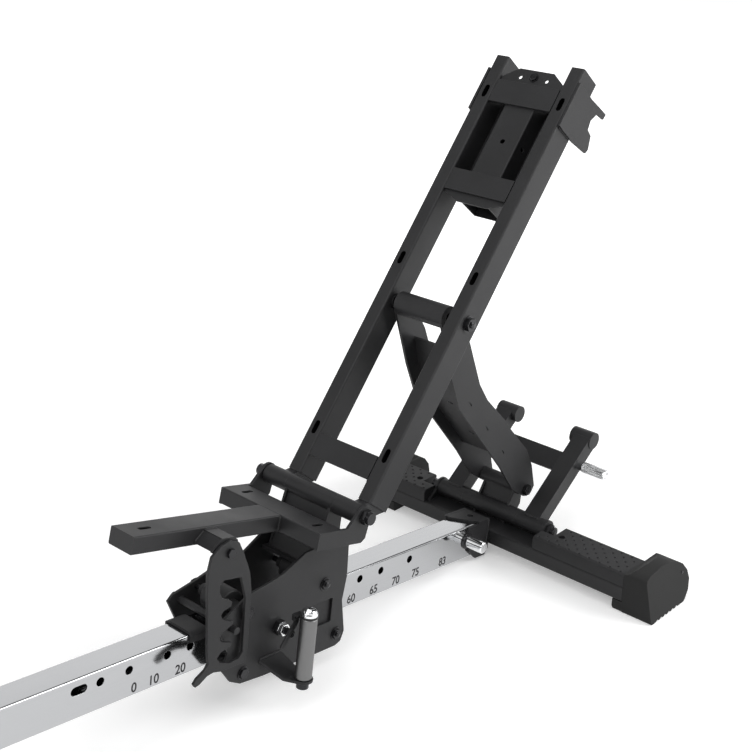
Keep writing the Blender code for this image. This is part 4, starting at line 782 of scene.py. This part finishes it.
def spun(name, profile, place, turns):
    """A closed profile of (radius, distance) pairs spun about the place's Z axis."""
    work = bmesh.new()
    rings = []
    for radius, distance in profile:
        ring = []
        for i in range(turns):
            angle = 2 * math.pi * i / turns
            ring.append(
                work.verts.new((radius * math.cos(angle), radius * math.sin(angle), distance))
            )
        rings.append(ring)
    for lower, upper in zip(rings, rings[1:] + rings[:1]):
        for i in range(turns):
            j = (i + 1) % turns
            work.faces.new((lower[i], lower[j], upper[j], upper[i]))
    bmesh.ops.recalc_face_normals(work, faces=work.faces)
    mesh = mesh_of(work, name)
    mesh.transform(place)
    return mesh


def weld_bead(name, start, end, place, body, radius):
    """A weld's bead between two points of the place's axes: a low round ridge with ripples."""
    start, end = Vector(start), Vector(end)
    way = end - start
    steps = max(int(way.length / (0.8 * MM)), 4)
    side = way.orthogonal().normalized()
    other = way.cross(side).normalized()
    work = bmesh.new()
    rings = []
    for k in range(steps + 1):
        along = k / steps
        ripple = 1 + 0.1 * math.cos(2 * math.pi * along * way.length / (3.2 * MM))
        ends = min(1.0, 0.35 + min(along, 1 - along) * way.length / (2.5 * MM))
        size = radius * ripple * ends
        middle = start + way * along
        rings.append(
            [
                work.verts.new(
                    middle
                    + side * size * math.cos(math.tau * i / 8)
                    + other * size * math.sin(math.tau * i / 8)
                )
                for i in range(8)
            ]
        )
    for lower, upper in zip(rings, rings[1:]):
        for i in range(8):
            j = (i + 1) % 8
            work.faces.new((lower[i], lower[j], upper[j], upper[i]))
    work.faces.new(rings[0][::-1])
    work.faces.new(rings[-1])
    bmesh.ops.recalc_face_normals(work, faces=work.faces)
    mesh = mesh_of(work, name)
    mesh.transform(place)
    piece(name, mesh, body, "black", 80)


class BENCH_OT_coated_frame(Operator):
    """Powder coat on the tubes and plates"""

    bl_idname = "bench.coated_frame"
    bl_label = "Coated Frame"

    def execute(self, context):
        for row in frame["record"]["subparts"]:
            if row["material_slot"] == "black":
                dress(row["node"], "black")
        return {"FINISHED"}


class BENCH_OT_hardware(Operator):
    """Finishes of the bolts, shafts, rollers, knobs and feet"""

    bl_idname = "bench.hardware"
    bl_label = "Hardware"

    def execute(self, context):
        for row in frame["record"]["subparts"]:
            slot = row["material_slot"]
            if slot not in ("black", "steel"):
                dress(row["node"], slot, 0.5 * MM)
        return {"FINISHED"}


class BENCH_OT_rail(Operator):
    """Plating on the rail and its printed numbers"""

    bl_idname = "bench.rail"
    bl_label = "Rail and Numbers"

    def execute(self, context):
        dress("rail", "steel", 0.4 * MM)
        face_y = -RAIL_W / 2 - 0.12 * MM
        for number, distance in DIAL:
            text = bpy.data.curves.new("number", "FONT")
            text.body = str(number)
            text.size = detail().number_height / DIGIT_SHARE
            text.align_x = "CENTER"
            text.align_y = "CENTER"
            text.extrude = INK_DEPTH
            text.offset = DIGIT_BOLD
            holder = bpy.data.objects.new("number", text)
            context.scene.collection.objects.link(holder)
            context.view_layer.update()
            mesh = bpy.data.meshes.new_from_object(
                holder.evaluated_get(context.evaluated_depsgraph_get())
            )
            bpy.data.objects.remove(holder)
            x = PIN_X + distance * MM + detail().number_back
            mesh.transform(Matrix.Diagonal((DIGIT_WIDTH, 1, 1, 1)))
            mesh.transform(Matrix.Rotation(math.pi / 2, 4, "X"))
            mesh.transform(RAIL @ Matrix.Translation((x, face_y, detail().number_z)))
            piece(f"rail_number_{number}", mesh, "base", "ink")
        return {"FINISHED"}


class BENCH_OT_treads(Operator):
    """Dimpled treads on the rear foot, and the screw in each boot"""

    bl_idname = "bench.treads"
    bl_label = "Treads and Boots"

    def execute(self, context):
        for side, word in SIDES:
            self.tread(f"tread_{word}", side)
            low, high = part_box(f"rear_foot_{word}")
            outer = high.y if side > 0 else low.y
            place = Matrix.Translation((high.x - 24 * MM, outer - side * 13 * MM, 60 * MM))
            place = place @ Matrix.Rotation(-side * math.radians(78), 4, "X")
            mesh = spun("boot_screw", BOOT_SCREW, place, 24)
            piece(f"boot_screw_{word}", mesh, "base", "zinc")
        return {"FINISHED"}

    def tread(self, node_name, side):
        """Staggered dimples in a tread, clear of its bolt and of its inner notch."""
        low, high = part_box(node_name)
        pitch = detail().dimple_pitch
        radius = detail().dimple / 2
        inner = low.y if side > 0 else high.y
        spot = Vector((low.x + 38 * MM, inner + side * 44 * MM))
        work = bmesh.new()
        rows = int((high.x - low.x - 12 * MM) / pitch)
        for row in range(rows + 1):
            x = low.x + 8 * MM + row * pitch
            y = inner + side * (9 * MM + (row % 2) * pitch)
            while low.y + 6 * MM < y < high.y - 6 * MM:
                near_spot = (Vector((x, y)) - spot).length < 11 * MM
                in_notch = abs(y - inner) < 35 * MM and x > low.x + 28 * MM
                if not near_spot and not in_notch:
                    cup = bmesh.ops.create_cone(
                        work,
                        cap_ends=True,
                        segments=12,
                        radius1=radius * 0.6,
                        radius2=radius * 1.15,
                        depth=3 * MM,
                    )
                    shift = (x, y, high.z - 0.8 * MM)
                    bmesh.ops.translate(work, verts=cup["verts"], vec=shift)
                y += side * 2 * pitch
        recut(node_name, mesh_of(work, "dimples"), "nylon")


class BENCH_OT_grip(Operator):
    """Knurled hand grip, chrome jam nut and fluted pull peg"""

    bl_idname = "bench.grip"
    bl_label = "Grip and Pulls"

    def execute(self, context):
        grip = piece("grip_knurled", self.knurled(), "carriage", "alloy", 60)
        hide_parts("grip")
        peg = piece("peg_fluted", self.fluted(), "peg", "chrome", 50)
        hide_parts("rear_peg")
        paint("pin_boss", "chrome", RAIL, 1, -1, -76.6 * MM)
        paint("grip_stem", "zinc", RAIL, 2, -1, -97 * MM)
        paint("knob_collar", "zinc", RAIL, 1, -54.5 * MM, -49.5 * MM)
        return {"FINISHED"}

    def knurled(self):
        around, along, teeth = 128, 120, 32
        land = 5 * MM
        depth = detail().knurl
        work = bmesh.new()
        rings = [self.ring(work, around, GRIP_BORE, 0), self.ring(work, around, GRIP_END_R, 0)]
        for k in range(along + 1):
            z = 1.5 * MM + (GRIP_L - 3 * MM) * k / along
            if land < z < GRIP_L - land:
                turn = z * teeth / GRIP_R
                ring = []
                for i in range(around):
                    angle = math.tau * i / around
                    ridge = math.cos(teeth * angle + turn) * math.cos(teeth * angle - turn)
                    radius = GRIP_R - depth * (0.5 - 0.5 * ridge)
                    place = (radius * math.cos(angle), radius * math.sin(angle), z)
                    ring.append(work.verts.new(place))
                rings.append(ring)
            else:
                rings.append(self.ring(work, around, GRIP_R, z))
        rings.append(self.ring(work, around, GRIP_END_R, GRIP_L))
        rings.append(self.ring(work, around, GRIP_BORE, GRIP_L))
        self.skin(work, rings + rings[:1])
        bmesh.ops.recalc_face_normals(work, faces=work.faces)
        mesh = mesh_of(work, "grip_knurled")
        mesh.transform(GRIP)
        return mesh

    def fluted(self):
        around, flutes = 120, 20
        work = bmesh.new()
        rings = []
        for radius, z, deep in PEG_PROFILE:
            ring = []
            for i in range(around):
                angle = math.tau * i / around
                r = (radius - deep * max(0.0, math.cos(flutes * angle))) * MM
                ring.append(work.verts.new((r * math.cos(angle), r * math.sin(angle), z * MM)))
            rings.append(ring)
        self.skin(work, rings)
        work.faces.new(rings[0][::-1])
        work.faces.new(rings[-1])
        bmesh.ops.recalc_face_normals(work, faces=work.faces)
        mesh = mesh_of(work, "peg_fluted")
        mesh.transform(PEG)
        return mesh

    def ring(self, work, around, radius, z):
        angles = [math.tau * i / around for i in range(around)]
        return [work.verts.new((radius * math.cos(a), radius * math.sin(a), z)) for a in angles]

    def skin(self, work, rings):
        for lower, upper in zip(rings, rings[1:]):
            for i in range(len(lower)):
                j = (i + 1) % len(lower)
                work.faces.new((lower[i], lower[j], upper[j], upper[i]))


class BENCH_OT_fasteners(Operator):
    """Washers and threaded ends of the axles and bolts"""

    bl_idname = "bench.fasteners"
    bl_label = "Fasteners"

    def execute(self, context):
        for name, x, z in AXLES:
            for side, word in SIDES:
                at = RAIL @ Matrix.Translation((x * MM, side * PLATE_FACE, z * MM))
                outwards = at @ Matrix.Rotation(-side * math.pi / 2, 4, "X")
                self.washer(f"axle_{name}_{word}", outwards, "carriage", *AXLE_SIZE)
                # The latch swings past the near side of the front axles, so their heads stay bare
                if side > 0 or name.endswith("rear"):
                    thread_r = AXLE_SIZE[0]
                    self.thread(f"axle_{name}_{word}", outwards, "carriage", thread_r, AXLE_HEAD_L)
        for side, word in SIDES:
            at = BACK @ Matrix.Translation((STUB_U, side * (BACK_OUT + 0.2 * MM), STUB_W))
            outwards = at @ Matrix.Rotation(-side * math.pi / 2, 4, "X")
            self.washer(f"stub_{word}", outwards, "back", *STUB_SIZE)
            self.thread(f"stub_{word}", outwards, "back", STUB_SIZE[0], STUB_HEAD_L)
        at = BACK @ Matrix.Translation((PAN_BOLT_U, 0, BACK_FACE - 6.4 * MM))
        hexagon = [(0.2, 0), (7.5, 0), (7.5, 4.5), (6.4, 5.4), (0.2, 5.4)]
        mesh = spun("pan_bolt", [(r * MM, h * MM) for r, h in hexagon], at, 6)
        piece("pan_bolt", mesh, "back", "zinc", 25)
        ring = [(5, 0), (9.5, 0), (9.5, 1.3), (5, 1.3)]
        mesh = spun("pan_washer", [(r * MM, h * MM) for r, h in ring], at, 32)
        piece("pan_washer", mesh, "back", "zinc")
        return {"FINISHED"}

    def washer(self, name, outwards, body, bore, rim):
        """A flat washer behind a head."""
        ring = [(bore, -0.1), (rim, -0.1), (rim, 1.1), (bore, 1.1)]
        washer = spun(name + "_washer", [(r * MM, h * MM) for r, h in ring], outwards, 40)
        piece(name + "_washer", washer, body, "zinc")

    def thread(self, name, outwards, body, thread_r, head_l):
        """The thread's end, which stands out of the head."""
        profile = [(0.2, 0)]
        turns = 5
        for i in range(turns):
            profile += [(thread_r - 0.6, 0.8 * i), (thread_r, 0.8 * i + 0.4)]
        profile += [(thread_r - 0.8, 0.8 * turns), (0.2, 0.8 * turns + 0.2)]
        base = head_l - 0.6 * MM
        thread = spun(name + "_thread", [(r * MM, base + h * MM) for r, h in profile], outwards, 24)
        piece(name + "_thread", thread, body, "zinc", 80)


class BENCH_OT_welds(Operator):
    """Weld beads where tubes and plates meet"""

    bl_idname = "bench.welds"
    bl_label = "Weld Beads"

    def execute(self, context):
        bead = detail().bead
        wide = bead * 1.35
        ends = [(x, -PLATE_FACE, LEAF_Z) for x in LEAF_X]
        weld_bead("weld_grip_bracket", *ends, RAIL, "carriage", wide)
        for side, word in SIDES:
            y = side * SPINE_HALF
            ends = (CROSS_X0 - bead / 3, y, SEAT_LOW), (CROSS_X0 - bead / 3, y, SEAT_TOP - bead)
            weld_bead(f"weld_spine_{word}", *ends, SEAT, "seat", bead)
            ends = [(x, side * UPRIGHT_Y, UPRIGHT_Z) for x in UPRIGHT_X]
            weld_bead(f"weld_upright_{word}", *ends, RAIL, "carriage", bead)
            ends = [(BRACKET_X, side * BRACKET_Y, z) for z in BRACKET_Z]
            weld_bead(f"weld_bracket_{word}", *ends, RAIL, "base", bead)
            self.arm(side, word, bead)
            self.back(side, word, bead)
        y = -SPINE_HALF - bead / 4
        ends = (-282 * MM, y, SEAT_TOP - 4 * MM), (-259 * MM, y, SEAT_TOP - 4 * MM)
        weld_bead("weld_hanger_top", *ends, SEAT, "seat", bead)
        ends = (-300 * MM, y, SEAT_LOW + 6 * MM), (-284 * MM, y, SEAT_TOP - 6 * MM)
        weld_bead("weld_hanger_front", *ends, SEAT, "seat", bead)
        return {"FINISHED"}

    def arm(self, side, word, bead):
        for name, z in (("top", ARM_HALF), ("under", -ARM_HALF)):
            ends = [(ARM_X, side * y, z) for y in ARM_Y]
            weld_bead(f"weld_arm_{name}_{word}", *ends, STAND, "rear_frame", bead)

    def back(self, side, word, bead):
        y = side * BACK_IN
        behind = BACK_FACE - 6 * MM
        for name, u0, u1 in BARS:
            ends = ((u0 + 2) * MM, y, behind), ((u1 - 2) * MM, y, behind)
            weld_bead(f"weld_bar_{name}_{word}", *ends, BACK, "back", bead)
        y0, y1 = side * (BACK_IN + 4 * MM), side * (BACK_OUT - 4 * MM)
        for name, w in (("front", BACK_FACE - 1 * MM), ("rear", BACK_FACE - BACK_DEPTH + 3 * MM)):
            ends = (SLEEVE_U, y0, w), (SLEEVE_U, y1, w)
            weld_bead(f"weld_sleeve_{name}_{word}", *ends, BACK, "back", bead)
        y = side * BACK_OUT
        for name, u in HOOK_ENDS:
            ends = (u, y, BACK_FACE - 6 * MM), (u, y, BACK_FACE - BACK_DEPTH + 6 * MM)
            weld_bead(f"weld_hook_{name}_{word}", *ends, BACK, "back", bead)


class BENCH_OT_stage(Operator):
    """Pale floor, soft lamps, background and camera"""

    bl_idname = "bench.stage"
    bl_label = "Stage"

    def execute(self, context):
        stage = context.scene.bench_stage
        if stage.show_floor:
            self.floor(context)
        self.lamp(context, "key_lamp", *KEY_LAMP, stage.key_power)
        self.lamp(context, "top_lamp", *TOP_LAMP, stage.top_power)
        self.lamp(context, "front_lamp", *FRONT_LAMP, stage.key_power * FRONT_SHARE)
        self.background(context)
        self.camera(context, stage)
        context.scene.view_settings.view_transform = "Standard"
        return {"FINISHED"}

    def floor(self, context):
        work = bmesh.new()
        bmesh.ops.create_circle(work, cap_ends=True, segments=96, radius=FLOOR_R)
        mesh = mesh_of(work, "floor")
        floor = bpy.data.objects.new("floor", mesh)
        floor.location.z = -0.5 * MM
        context.scene.collection.objects.link(floor)
        made = bpy.data.materials.new("pale_floor")
        made.use_nodes = True
        tree = made.node_tree
        tree.nodes.clear()
        end = tree.nodes.new("ShaderNodeOutputMaterial")
        path = tree.nodes.new("ShaderNodeLightPath")
        seen = maths(tree, "MAXIMUM", path.outputs["Is Camera Ray"], path.outputs["Is Glossy Ray"])
        bounce = tree.nodes.new("ShaderNodeBsdfDiffuse")
        bounce.inputs["Color"].default_value = (*[FLOOR_BOUNCE] * 3, 1)
        catch = tree.nodes.new("ShaderNodeBsdfDiffuse")
        catch.inputs["Color"].default_value = (*[FLOOR_SEEN] * 3, 1)
        lift = tree.nodes.new("ShaderNodeEmission")
        coords = tree.nodes.new("ShaderNodeTexCoord")
        reach = tree.nodes.new("ShaderNodeVectorMath")
        reach.operation = "LENGTH"
        link(tree, coords.outputs["Object"], reach.inputs[0])
        far = spread(tree, reach.outputs["Value"], *FLOOR_GLOW)
        link(tree, far, lift.inputs["Strength"])
        both = tree.nodes.new("ShaderNodeAddShader")
        link(tree, catch.outputs[0], both.inputs[0])
        link(tree, lift.outputs[0], both.inputs[1])
        pick = tree.nodes.new("ShaderNodeMixShader")
        link(tree, seen, pick.inputs["Fac"])
        link(tree, bounce.outputs[0], pick.inputs[1])
        link(tree, both.outputs[0], pick.inputs[2])
        link(tree, pick.outputs[0], end.inputs["Surface"])
        mesh.materials.append(made)

    def lamp(self, context, name, place, size, power):
        data = bpy.data.lights.new(name, "AREA")
        data.shape = "SQUARE"
        data.size = size
        data.energy = power
        lamp = bpy.data.objects.new(name, data)
        lamp.location = place
        aim = LAMP_AIM - Vector(place)
        lamp.rotation_euler = aim.to_track_quat("-Z", "Y").to_euler()
        context.scene.collection.objects.link(lamp)

    def background(self, context):
        world = bpy.data.worlds.new("studio")
        world.use_nodes = True
        context.scene.world = world
        tree = world.node_tree
        tree.nodes.clear()
        end = tree.nodes.new("ShaderNodeOutputWorld")
        path = tree.nodes.new("ShaderNodeLightPath")
        coords = tree.nodes.new("ShaderNodeTexCoord")
        split = tree.nodes.new("ShaderNodeSeparateXYZ")
        link(tree, coords.outputs["Generated"], split.inputs[0])
        height = spread(tree, split.outputs["Z"], 0.45, 0.8, 1.2, 0.3)
        bands = tree.nodes.new("ShaderNodeTexWave")
        bands.wave_type = "BANDS"
        bands.bands_direction = "DIAGONAL"
        bands.inputs["Scale"].default_value = 0.55
        bands.inputs["Distortion"].default_value = 2.5
        link(tree, coords.outputs["Generated"], bands.inputs["Vector"])
        flags = spread(tree, bands.outputs["Fac"], 0.16, 0.3, 0.08, 1.0)
        shine = tree.nodes.new("ShaderNodeBackground")
        link(tree, maths(tree, "MULTIPLY", height, flags), shine.inputs["Strength"])
        room = tree.nodes.new("ShaderNodeBackground")
        room.inputs["Strength"].default_value = ROOM_LIGHT
        white = tree.nodes.new("ShaderNodeBackground")
        white.inputs["Strength"].default_value = 1.0
        for node in (shine, room, white):
            node.inputs["Color"].default_value = (1, 1, 1, 1)
        first = tree.nodes.new("ShaderNodeMixShader")
        link(tree, path.outputs["Is Glossy Ray"], first.inputs["Fac"])
        link(tree, room.outputs[0], first.inputs[1])
        link(tree, shine.outputs[0], first.inputs[2])
        second = tree.nodes.new("ShaderNodeMixShader")
        link(tree, path.outputs["Is Camera Ray"], second.inputs["Fac"])
        link(tree, first.outputs[0], second.inputs[1])
        link(tree, white.outputs[0], second.inputs[2])
        link(tree, second.outputs[0], end.inputs["Surface"])

    def camera(self, context, stage):
        turn, dip, roll = (math.radians(a) for a in CAMERA_ANGLES)
        ahead = Vector(
            (math.cos(turn) * math.cos(dip), math.sin(turn) * math.cos(dip), -math.sin(dip))
        )
        right = ahead.cross(Vector((0, 0, 1))).normalized()
        up = right.cross(ahead)
        level = math.cos(roll) * right + math.sin(roll) * up
        upright = math.cos(roll) * up - math.sin(roll) * right
        pose = Matrix.Identity(4)
        for column, axis in enumerate((level, upright, -ahead, CAMERA_PLACE)):
            for row in range(3):
                pose[row][column] = axis[row]
        data = bpy.data.cameras.new("camera")
        data.sensor_width = 36
        data.lens = stage.lens
        data.clip_start = 0.01
        camera = bpy.data.objects.new("camera", data)
        camera.matrix_world = RAIL @ pose
        context.scene.collection.objects.link(camera)
        context.scene.camera = camera


class BENCH_PT_panel(Panel):
    """Lists the bench's steps and settings"""

    bl_idname = "BENCH_PT_panel"
    bl_label = "Bench"
    bl_space_type = "VIEW_3D"
    bl_region_type = "UI"
    bl_category = "Bench"

    def draw(self, context):
        layout = self.layout
        for step in STEPS:
            layout.operator(step.bl_idname)
        for group in (
            context.scene.bench_finishes,
            context.scene.bench_detail,
            context.scene.bench_stage,
        ):
            box = layout.box()
            for key in group.bl_rna.properties.keys():
                if key not in ("rna_type", "name"):
                    box.prop(group, key)


SETTINGS = (
    ("bench_finishes", BenchFinishes),
    ("bench_detail", BenchDetail),
    ("bench_stage", BenchStage),
)
STEPS = (
    BENCH_OT_coated_frame,
    BENCH_OT_hardware,
    BENCH_OT_rail,
    BENCH_OT_treads,
    BENCH_OT_grip,
    BENCH_OT_fasteners,
    BENCH_OT_welds,
    BENCH_OT_stage,
)


def register():
    for name, group in SETTINGS:
        bpy.utils.register_class(group)
        setattr(bpy.types.Scene, name, PointerProperty(type=group))
    for step in STEPS:
        bpy.utils.register_class(step)
    bpy.utils.register_class(BENCH_PT_panel)


def unregister():
    bpy.utils.unregister_class(BENCH_PT_panel)
    for step in reversed(STEPS):
        bpy.utils.unregister_class(step)
    for name, group in reversed(SETTINGS):
        delattr(bpy.types.Scene, name)
        bpy.utils.unregister_class(group)


def main():
    register()
    for step in STEPS:
        module, operation = step.bl_idname.split(".")
        getattr(getattr(bpy.ops, module), operation)()


if __name__ == "__main__":
    main()
